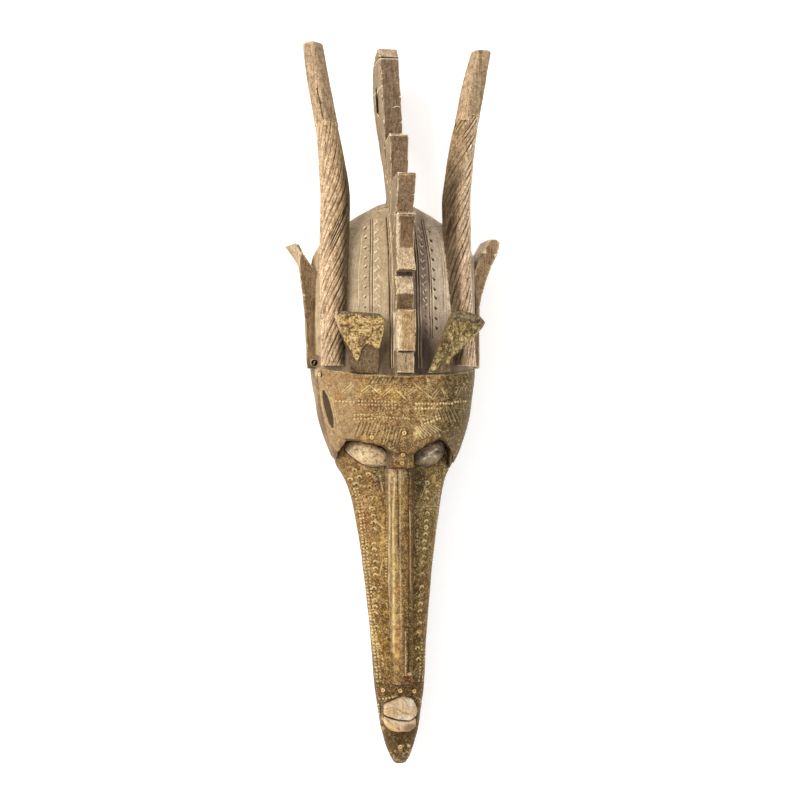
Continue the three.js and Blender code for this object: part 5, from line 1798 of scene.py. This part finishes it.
def nose_sheet():
    rows = np.arange(NOSE_END_Y + 0.6, NOSE_SHEET_TOP_Y + 0.5, 0.56)
    points = nose_points(rows, np.linspace(0.03, 1, 21)[:-1], np.linspace(1, -1, 39))
    relief = Relief(points, nose_height)
    offset = points[..., 0] - axis_x(points[..., 1])
    tone = mixed(NOSE_WALL_TONE, NOSE_LEFT_TONE, smooth_step(offset, -11, -9))
    tone = mixed(tone, NOSE_TONE, smooth_step(offset, -2.6, 0.4))
    tone = spotted(tone, points, NOSE_SPOTS)
    relief.tone = mixed(tone, NOSE_SHADE_TONE, smooth_step(offset, 8.0, 9.2))
    relief.beaten(154, 0.75)
    relief.nicks((399, 470, 407, 680), 50, 187, 1.8, 0.5)
    for path, width, rise, wear_and_shine in NOSE_LINES:
        relief.drawn([path], width, rise, wear_and_shine)
    relief.gilded(NOSE_GOLD, 0.9)
    relief.dented(0.16, [7, 22, 7], 73, high=0.5)
    relief.wear_and_shine *= 1 - 0.85 * smooth_step(offset, 8.4, 9.4)
    trimmed_sheet("nose_cover", "nose_sheet", OLIVE, relief, cut=[NOSE_CHIP])


# Chin sheet round the lips
CHIN_DOTS = [[(380, 698), (396, 696)], [(419, 700), (422, 712)], [(379.5, 704), (381, 722)]]
CHIN_FOLDS = [[(414, 735), (408, 746), (403, 757)], [(392, 736), (397, 744), (400, 752)]]
CHIN_SCRATCHES = [[(409.5, 754), (404, 763.5)], [(411.5, 752), (408.5, 758)]]
CHIN_GOLD = [(384, 727, 2), (400.4, 749.5, 1.8)]
CHIN_SPOTS = [(391, 700, 8, 5, (0.24, 0.15, 0.07), 0.7), (397, 684, 14, 4, (0.14, 0.08, 0.03), 0.6),
              (400, 760, 10, 6, (0.3, 0.21, 0.12), 0.5), (399, 738, 15, 7, (0.06, 0.032, 0.012), 0.85)]


def chin_sheet():
    rows = np.arange(CHIN_Y + 2, NOSE_END_Y - 0.8, 0.52)
    cheek = cheek_points(rows, np.linspace(0.6, CHEEK_STEPS, 42)[:-1])
    middle = nose_points(rows, np.linspace(0, 1, 4)[:-1], np.linspace(1, -1, 17))
    points = np.concatenate([cheek, middle, mirrored(cheek)], axis=1)
    relief = Relief(points, cheek_height)
    relief.tone = spotted(np.full(points.shape, CHIN_TONE), points, CHIN_SPOTS)
    from_fold = np.abs(seen_from(points)[1] - 739)
    relief.beaten(156, 0.25 + 0.6 * smooth_step(from_fold, 7, 12))
    relief.nicks((380, 734, 420, 750), 9, 188, 1.4, 0.5)
    relief.nicks((402, 744, 413, 764), 34, 190, 2.2, 1.3)
    relief.nicks((388, 750, 402, 764), 20, 191, 1.6, 0.8)
    for row in CHIN_DOTS:
        relief.dots(row, 3.0, 0.2, 65, 0.9, 0.4)
    relief.drawn(CHIN_FOLDS, 0.5, -0.14, 0, (1.8, 0.6))
    relief.drawn(CHIN_FOLDS, 0.45, 0.26, 0.25)
    relief.drawn(CHIN_SCRATCHES, 0.5, 0.3, 1.4)
    relief.gilded(CHIN_GOLD)
    relief.dented(0.25, [6, 8, 6], 74)
    trimmed_sheet("chin_cover", "chin_sheet", OLIVE, relief,
                  cut=[roughened(MOUTH_HOLE, 0.3, 83)])


# Foil on the small horns, torn at its lower edge
FOIL_CREASES = {"left": ([7.5, 8.5, 7.5], 92), "right": ([5.5, 10, 5.5], 95)}


def horn_foil(side):
    stump = STUMPS[side]
    outline = roughened(stump["foil"], 0.5, 91, 1.2)
    low, high = outline.min(0) - 1, outline.max(0) + 1
    rows, columns = np.arange(low[1], high[1], 0.5), np.arange(low[0], high[0], 0.5)
    y, x = np.meshgrid(rows, columns, indexing="ij")
    points = np.stack([x, y, stump_height(stump, y)], -1)
    relief = Relief(points, lambda _, place_y: stump_height(stump, place_y))
    size, seed = FOIL_CREASES[side]
    relief.rise += -0.34 + 3.6 * np.abs(layered(points, size, seed, 5))
    flat = points.reshape(-1, 3)[:, :2]
    from_edge = np.hypot(*(flat - nearest_on(flat, [outline])).T).reshape(x.shape)
    relief.rise += 0.25 * (1 - smooth_step(from_edge, 0.0, 1.6))
    above_fold = y - np.interp(x, *np.array(stump["fold"], float).T)
    folded = smooth_step(above_fold, -0.6, 0.6)
    tone = spotted(np.full(points.shape, FOIL_TONE[side]), points, FOIL_SPOTS)
    relief.tone = mixed(tone, FOIL_FOLD_TONE, folded)
    relief.rise += 0.2 * smooth_step(above_fold, -0.5, 0.5)
    relief.wear_and_shine = 0.75 * smooth_step(relief.rise, 0.5, 1.3) * (1 - 0.8 * folded)
    relief.rise = np.clip(relief.rise, -0.35, 0.5)
    trimmed_sheet("foil_" + side, "horn_foil_" + side, FOIL, relief, keep=outline)


# Crumpled covers over the eyes
# Eye covers; the dark spots along the lower edges (368, 466 and 428, 466) and at the right cover's inner
# end (415, 457) are painted shade, the right cover's tone is darker partly as painted shade under the
# brow, and its shine lines are painted reflections
EYE_COVERS = {
    "left": {
        "tone": (0.66, 0.47, 0.25),
        "spots": [
            (388, 459, 6, 6, (0.3, 0.2, 0.12), 0.8), (366, 454, 14, 7, (0.74, 0.56, 0.32), 0.6),
            (368, 466, 20, 2.6, (0.26, 0.18, 0.1), 0.8),
        ],
        "lump_size": [2.6, 2.2, 4],
        "lump_seed": 101,
        "lump_height": 0.6,
        "shine": [],
    },
    "right": {
        "tone": (0.37, 0.27, 0.15),
        "spots": [
            (415, 457, 6, 7, (0.07, 0.05, 0.03), 0.8), (436, 450, 9, 8, (0.34, 0.26, 0.16), 0.7),
            (428, 466, 14, 3, (0.1, 0.07, 0.04), 0.7),
        ],
        "lump_size": [7, 3.6, 8],
        "lump_seed": 104,
        "lump_height": 1.7,
        "shine": [
            [(429, 454), (434.5, 451.5), (441.5, 444.5)], [(435, 446.5), (439, 443)],
            [(424, 459), (430, 456), (436, 456.5)],
        ],
    },
}


def eye_shine(rings, lines):
    """Painted reflections on creases, along lines of pixels."""
    seen_x, seen_y = seen_from(rings)
    shine = np.zeros(seen_x.shape)
    for line in lines:
        for (x0, y0), (x1, y1) in zip(line[:-1], line[1:]):
            span_x, span_y = x1 - x0, y1 - y0
            along = (seen_x - x0) * span_x + (seen_y - y0) * span_y
            along = np.clip(along / (span_x**2 + span_y**2), 0, 1)
            away = np.hypot(seen_x - x0 - along * span_x, seen_y - y0 - along * span_y)
            shine = np.maximum(shine, np.exp(-(away / 1.1) ** 2))
    return 0.95 * shine * smooth_step(noise(rings, 2.0, 105), -0.5, 0.3)


def eye_cover(side):
    cover = EYE_COVERS[side]
    rim = eye_outline(side)
    middle = rim.mean(0)

    def ring(share, lift):
        flat = middle + (rim - middle) * share
        return np.column_stack([flat, cheek_height(flat[:, 0], flat[:, 1]) + 0.6 + lift])

    shares = np.linspace(1, 0.02, 56)
    under = [ring(share, 0) for share in (0.3, 0.7, 1)]
    bulges = EYE_BULGE * np.sqrt(1 - 0.99 * shares**2.6)
    rings = np.array(under + [ring(share, 0.6 + bulge) for share, bulge in zip(shares, bulges)])
    fading = np.concatenate([[0, 0, 0], smooth_step(1 - shares, 0, 0.12)])[:, None]
    lumps = layered(rings, cover["lump_size"], cover["lump_seed"]) * fading
    rings[..., 2] += lumps * cover["lump_height"]
    piece = closed("eye_metal_" + side, rings)
    shine = eye_shine(rings, cover["shine"]) * fading
    tone = spotted(np.full(rings.shape, cover["tone"]), rings, cover["spots"])
    set_value(piece, "rise", np.concatenate([lumps.ravel(), [0, 0]]))
    # Painted reflections are stored with the wear
    set_value(piece, "wear_and_shine", np.concatenate([shine.ravel(), [0, 0]]))
    set_tone(piece, np.vstack([tone.reshape(-1, 3), tone[0, :2]]))
    combine(piece, prism(brow_cut(0.3), -20, 160), "DIFFERENCE")
    finish_piece(piece, ["eye_cover_" + side], PALE[side], 50)


# Nails with ring heads
def sheet_height(x, y):
    if y > -66:
        return head_height(x, y)
    return nose_height(x, y) if y > NOSE_END_Y else cheek_height(x, y)


def unit(vector):
    return vector / np.linalg.norm(vector, axis=-1, keepdims=True)


def tack(name, x, y):
    x, y, step = np.float64(x), np.float64(y), 1.2
    slope_x = (sheet_height(x + step, y) - sheet_height(x - step, y)) / (2 * step)
    slope_y = (sheet_height(x, y + step) - sheet_height(x, y - step)) / (2 * step)
    normal = unit(np.array([-slope_x, -slope_y, 1]))
    across = unit(np.cross([0, 1, 0], normal))
    upward = np.cross(normal, across)
    base = np.array([x, y, sheet_height(x, y)]) + normal * TACK_LIFT
    turn = full_turn(36)
    uneven = 1 + 0.05 * np.sin(3 * turn + x) + 0.03 * np.sin(5 * turn + y)
    rings = []
    for radius, rise in TACK_PROFILE:
        wobble = radius * uneven
        round_it = np.outer(wobble * np.cos(turn), across) + np.outer(wobble * np.sin(turn), upward)
        rings.append(base + round_it + normal * (rise + 0.06 * np.sin(2 * turn + y))[:, None])
    piece = closed(name.replace("tack", "nail"), np.array(rings))
    rises = np.repeat([rise for _, rise in TACK_PROFILE], len(turn))
    set_value(piece, "rise", np.concatenate([rises, [0.2, 0.2]]))
    finish_piece(piece, [name], NAIL, 50)


# Curl of wire in the ear hole
def ear_wire():
    share = np.linspace(-1, 1, 44)
    bend, reach = 0.8 * np.sin(math.pi * share), 1.9 * share
    centre = np.array([EAR_HOLE["x"], EAR_HOLE["y"], EAR_FRONT_Z - 1.6])
    curl = [0.75 * reach - 0.6 * bend, 0.6 * reach + 0.75 * bend, -0.5 * share**2]
    path = centre + np.column_stack(curl)
    tangent = unit(np.gradient(path, axis=0))
    side = unit(np.cross(tangent, [0, 0, 1]))
    lift = np.cross(side, tangent)
    turn = full_turn(12)[None, :, None]
    rings = path[:, None] + 0.36 * (side[:, None] * np.cos(turn) + lift[:, None] * np.sin(turn))
    finish_piece(closed("wire_curl", rings), ["ear_wire"], IRON, 60)


# Camera, floor and soft light from the upper left
def placed_camera():
    camera = bpy.data.objects.new("camera", bpy.data.cameras.new("camera"))
    camera.data.lens = LENS
    camera.data.sensor_width = SENSOR
    back = np.array([-math.sin(VIEW_TURN), 0, math.cos(VIEW_TURN)])
    camera.location = placed(VIEW_AIM) + VIEW_DISTANCE * MM * back
    camera.rotation_euler = (0, -VIEW_TURN, 0)
    bpy.context.scene.collection.objects.link(camera)
    bpy.context.scene.camera = camera


def sun(name, toward, strength, angle):
    lamp = bpy.data.objects.new(name, bpy.data.lights.new(name, "SUN"))
    lamp.data.energy = strength
    lamp.data.angle = math.radians(angle)
    lamp.data.color = (1.0, 0.985, 0.96)
    x, y, z = toward
    lamp.rotation_euler = (math.acos(z / math.sqrt(x * x + y * y + z * z)), 0, math.atan2(x, -y))
    bpy.context.scene.collection.objects.link(lamp)


def floor():
    bm = bmesh.new()
    bmesh.ops.create_grid(bm, x_segments=2, y_segments=2, size=4)
    mesh = bpy.data.meshes.new("floor")
    bm.to_mesh(mesh)
    bm.free()
    piece = bpy.data.objects.new("floor", mesh)
    piece.location = (0, 0, -0.0004)
    bpy.context.scene.collection.objects.link(piece)
    s = Shader("floor")
    color = s.ramp(s.noise(300, 2, 0.5), [(0.3, (0.9, 0.9, 0.9)), (0.7, (0.94, 0.94, 0.94))])
    s.surface.inputs["Emission Color"].default_value = (1, 1, 1, 1)
    s.surface.inputs["Emission Strength"].default_value = 0.4
    mesh.materials.append(s.finish(color, 0.9))


def studio():
    world = bpy.data.worlds.new("studio")
    world.use_nodes = True
    background = world.node_tree.nodes["Background"]
    background.inputs["Color"].default_value = (1, 1, 1, 1)
    background.inputs["Strength"].default_value = 0.6
    bpy.context.scene.world = world
    bpy.context.scene.view_settings.view_transform = "Standard"
    sun("key", (-0.75, 0.35, 0.6), 2.8, 35)
    sun("fill", (0.35, 0.2, 1.0), 0.6, 90)
    floor()


placed_camera()
studio()
carving = wood_carving()
shade_and_weather_wood(carving)
finish_piece(carving, ["wood_carving"], WOOD, 38)
band_sheet()
nose_sheet()
chin_sheet()
ear_wire()
for SIDE in ("left", "right"):
    cheek_sheet(SIDE)
    horn_foil(SIDE)
    eye_cover(SIDE)
for NAME, (TACK_X, TACK_Y) in TACKS.items():
    tack(NAME, TACK_X, TACK_Y)
